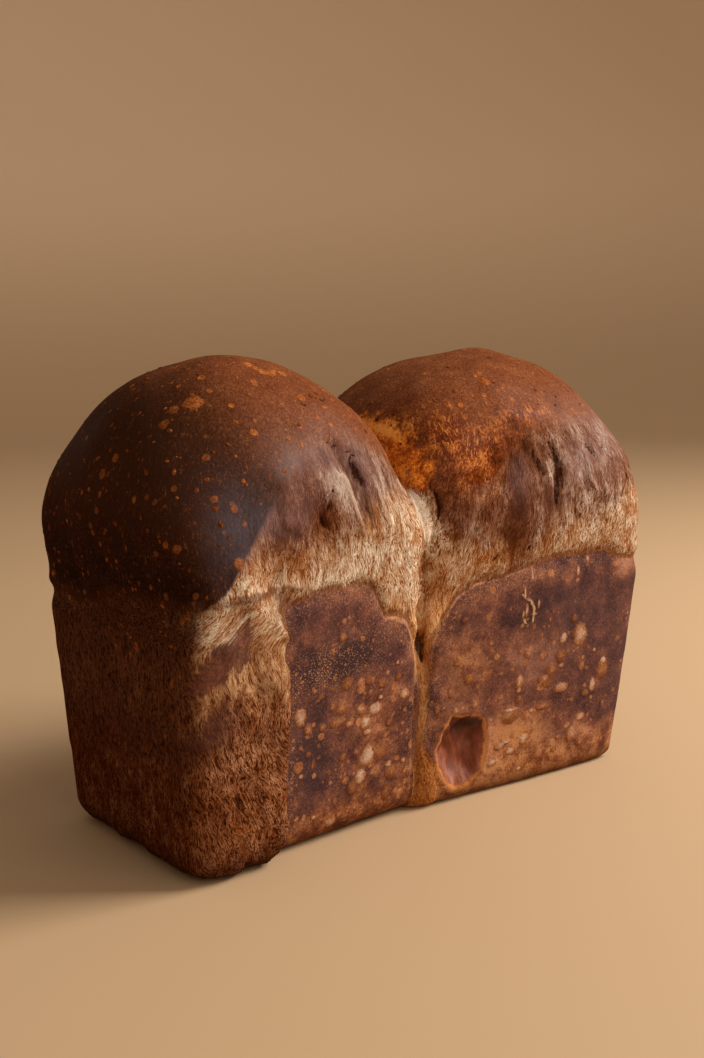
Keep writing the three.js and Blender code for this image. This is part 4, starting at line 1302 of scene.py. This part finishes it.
def blister_tree(material):
    """Scatters flat domes over a surface, where its attribute blisters is above 0."""
    tree = bpy.data.node_groups.new("scatter_blisters", "GeometryNodeTree")
    sockets = {}
    for name, kind, start in BLISTERS:
        socket = tree.interface.new_socket(name, in_out="INPUT", socket_type="NodeSocket" + kind)
        if start is not None:
            socket.default_value = start
        sockets[name] = socket.identifier
    tree.interface.new_socket("Geometry", in_out="OUTPUT", socket_type="NodeSocketGeometry")
    G = Nodes(tree)
    surface, density, smallest, largest, seed = (
        G.node("NodeGroupInput", output=name) for name, _, _ in BLISTERS)

    named = {"Name": "blisters"}
    share = G.node("GeometryNodeInputNamedAttribute", {"data_type": "FLOAT"}, named, "Attribute")
    spread = {"Mesh": surface, "Density": density * share, "Seed": seed}
    points = G.node("GeometryNodeDistributePointsOnFaces", None, spread, "Points")
    facing = Value(G, points.socket.node.outputs["Rotation"])

    sphere = {"Radius": 1.0, "Segments": SEGMENTS, "Rings": RINGS}
    shape = G.node("GeometryNodeMeshUVSphere", None, sphere, "Mesh")
    sizes = {2: smallest, 3: largest, "Seed": seed}
    size = G.node("FunctionNodeRandomValue", {"data_type": "FLOAT"}, sizes, 1)
    vector = {"data_type": "FLOAT_VECTOR"}
    stretch = G.node("FunctionNodeRandomValue", vector, {0: FLATTEST, 1: FULLEST})
    scale = G.node("ShaderNodeVectorMath", {"operation": "SCALE"}, {0: stretch, "Scale": size})
    turned = G.node("FunctionNodeRandomValue", vector, {1: (0.0, 0.0, 2 * math.pi)})
    spin = G.node("FunctionNodeRotateRotation", {"rotation_space": "LOCAL"}, [facing, turned])
    placing = {"Points": points, "Instance": shape, "Rotation": spin, "Scale": scale}
    placed = G.node("GeometryNodeInstanceOnPoints", None, placing)
    real = G.node("GeometryNodeRealizeInstances", None, [placed])
    finished = {"Geometry": real, "Material": material}
    G.node("NodeGroupOutput", None, [G.node("GeometryNodeSetMaterial", None, finished)])
    return tree, sockets


# %% Scatter the blisters and keep them as one plain mesh
uneven_crowd = 0.35 + 0.65 * ease(grain(plain, 22, 21), -0.3, 0.5)
blistered = {"blisters": ease(zones["over_wrinkles"], 0, 8) * uneven_crowd}
bed = in_scene("blister_bed", loaf_mesh("blister_bed", fine, quads, blistered))
scatter = bed.modifiers.new("scatter", "NODES")
scatter.node_group, sockets = blister_tree(blister_material)
for name, _, start in BLISTERS:
    if start is not None:
        scatter[sockets[name]] = start
seen = bed.evaluated_get(bpy.context.evaluated_depsgraph_get())
blister_mesh = bpy.data.meshes.new_from_object(seen)
blister_mesh.name = "dome_blisters"
bed.modifiers.clear()
bpy.data.objects.remove(bed)
blisters = in_scene("dome_blisters", blister_mesh)
smooth(blister_mesh)
count = len(blister_mesh.polygons) // (SEGMENTS * RINGS)
print("dome_blisters:", count, "blisters,", triangles_of(blister_mesh), "triangles")

# %% Tell the frame what each piece is
for piece in (crust, blisters):
    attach(piece, "root")
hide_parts(LOAF)

# %% [markdown]
# ## Floor, backdrop and light
#
# A baker would set the loaf down in soft daylight. Here a round pale floor turns up into
# a wall like a wide bowl, so no view shows a horizon. One large soft light stands high to
# the camera's right, and a weaker one fills the shade on the front.

# %% The floor, as a profile turned round the upright axis
def studio_bowl(flat_radius, turn_radius, wall_height, turn_steps=16, steps=96):
    profile = [(0.0, 0.0), (flat_radius, 0.0)]
    for i in range(1, turn_steps + 1):
        angle = i / turn_steps * math.pi / 2
        out, rise = turn_radius * math.sin(angle), turn_radius * (1 - math.cos(angle))
        profile.append((flat_radius + out, rise))
    profile.append((flat_radius + turn_radius, turn_radius + wall_height))
    mesh = bpy.data.meshes.new("studio_floor")
    shell = bmesh.new()
    line = [shell.verts.new((r, 0, h)) for r, h in profile]
    edges = [shell.edges.new(pair) for pair in zip(line, line[1:])]
    bmesh.ops.spin(shell, geom=line + edges, cent=(0, 0, 0), axis=(0, 0, 1), angle=2 * math.pi,
                   steps=steps, use_merge=True, use_duplicate=False)
    bmesh.ops.remove_doubles(shell, verts=shell.verts, dist=1e-5)
    bmesh.ops.recalc_face_normals(shell, faces=shell.faces)
    shell.to_mesh(mesh)
    shell.free()
    smooth(mesh)
    return mesh


floor = in_scene("studio_floor", studio_bowl(1.5, 0.9, 0.6))
F = Paint("floor")
# The wall is painted paler than the floor: painted light, making up for the light that falls off
# towards the wall
floor_height = F.axis(F.node("ShaderNodeTexCoord", output="Object"), 2)
floor_colour = F.blend(floor_height.ease(0.0, 0.5), (0.450, 0.292, 0.160), (0.76, 0.55, 0.36))
floor.data.materials.append(F.finish({"Base Color": floor_colour, "Roughness": 0.75}))

# %% Lights
LOAF_MIDDLE = Vector((0, 0, 0.07))


def soft_light(name, direction, distance, size, power, colour):
    """A square light that shines at the loaf from a direction."""
    data = bpy.data.lights.new(name, "AREA")
    data.size, data.energy, data.color = size, power, colour
    lamp = in_scene(name, data)
    way = Vector(direction).normalized()
    lamp.location = way * distance + LOAF_MIDDLE
    lamp.rotation_mode = "QUATERNION"
    lamp.rotation_quaternion = way.to_track_quat("Z", "Y")
    lamp.visible_camera = False


soft_light("daylight", (0.70, -0.42, 0.62), 1.1, 0.55, 19.0, (1.0, 0.96, 0.90))
soft_light("front_fill", (0.15, -1.0, 0.40), 1.3, 1.0, 5.5, (1.0, 0.93, 0.83))
world = bpy.data.worlds.new("studio")
world.use_nodes = True
sky = world.node_tree.nodes["Background"].inputs
sky["Color"].default_value, sky["Strength"].default_value = (1.0, 0.91, 0.78, 1.0), 0.38
bpy.context.scene.world = world
bpy.context.scene.view_settings.view_transform = "Standard"

# %% [markdown]
# ## Camera
#
# The camera stands where the photograph was taken: to the left of the loaf's front, a
# little above it and looking slightly down. Its lens was found together with the form.

# %% Place the camera
YAW, PITCH, ROLL = math.radians(37.79), math.radians(8.66), math.radians(-0.71)
FOCAL_PIXELS, PHOTO_HEIGHT, SENSOR = 1318.39, 1058, 36.0
CAMERA_FROM_TIN = Vector((-281.64, -358.63, 161.91))
forward = Vector((math.sin(YAW) * math.cos(PITCH), math.cos(YAW) * math.cos(PITCH), -math.sin(PITCH)))
right = Vector((math.cos(YAW), -math.sin(YAW), 0.0))
up = right.cross(forward)
turned_right = right * math.cos(ROLL) + up * math.sin(ROLL)
turned_up = up * math.cos(ROLL) - right * math.sin(ROLL)
camera_data = bpy.data.cameras.new("camera")
camera_data.sensor_width = SENSOR
camera_data.lens = FOCAL_PIXELS / PHOTO_HEIGHT * SENSOR
camera_data.clip_start = 0.01
camera = in_scene("camera", camera_data)
turn = Matrix((turned_right, turned_up, -forward)).transposed()
place_of_camera = (CAMERA_FROM_TIN + Vector(shift)) * MM
camera.matrix_world = Matrix.Translation(place_of_camera) @ turn.to_4x4()
bpy.context.scene.camera = camera
print("camera at", tuple(round(v, 4) for v in place_of_camera), "lens", round(camera_data.lens, 2))

# %% Update the scene and finish
bpy.context.view_layer.update()
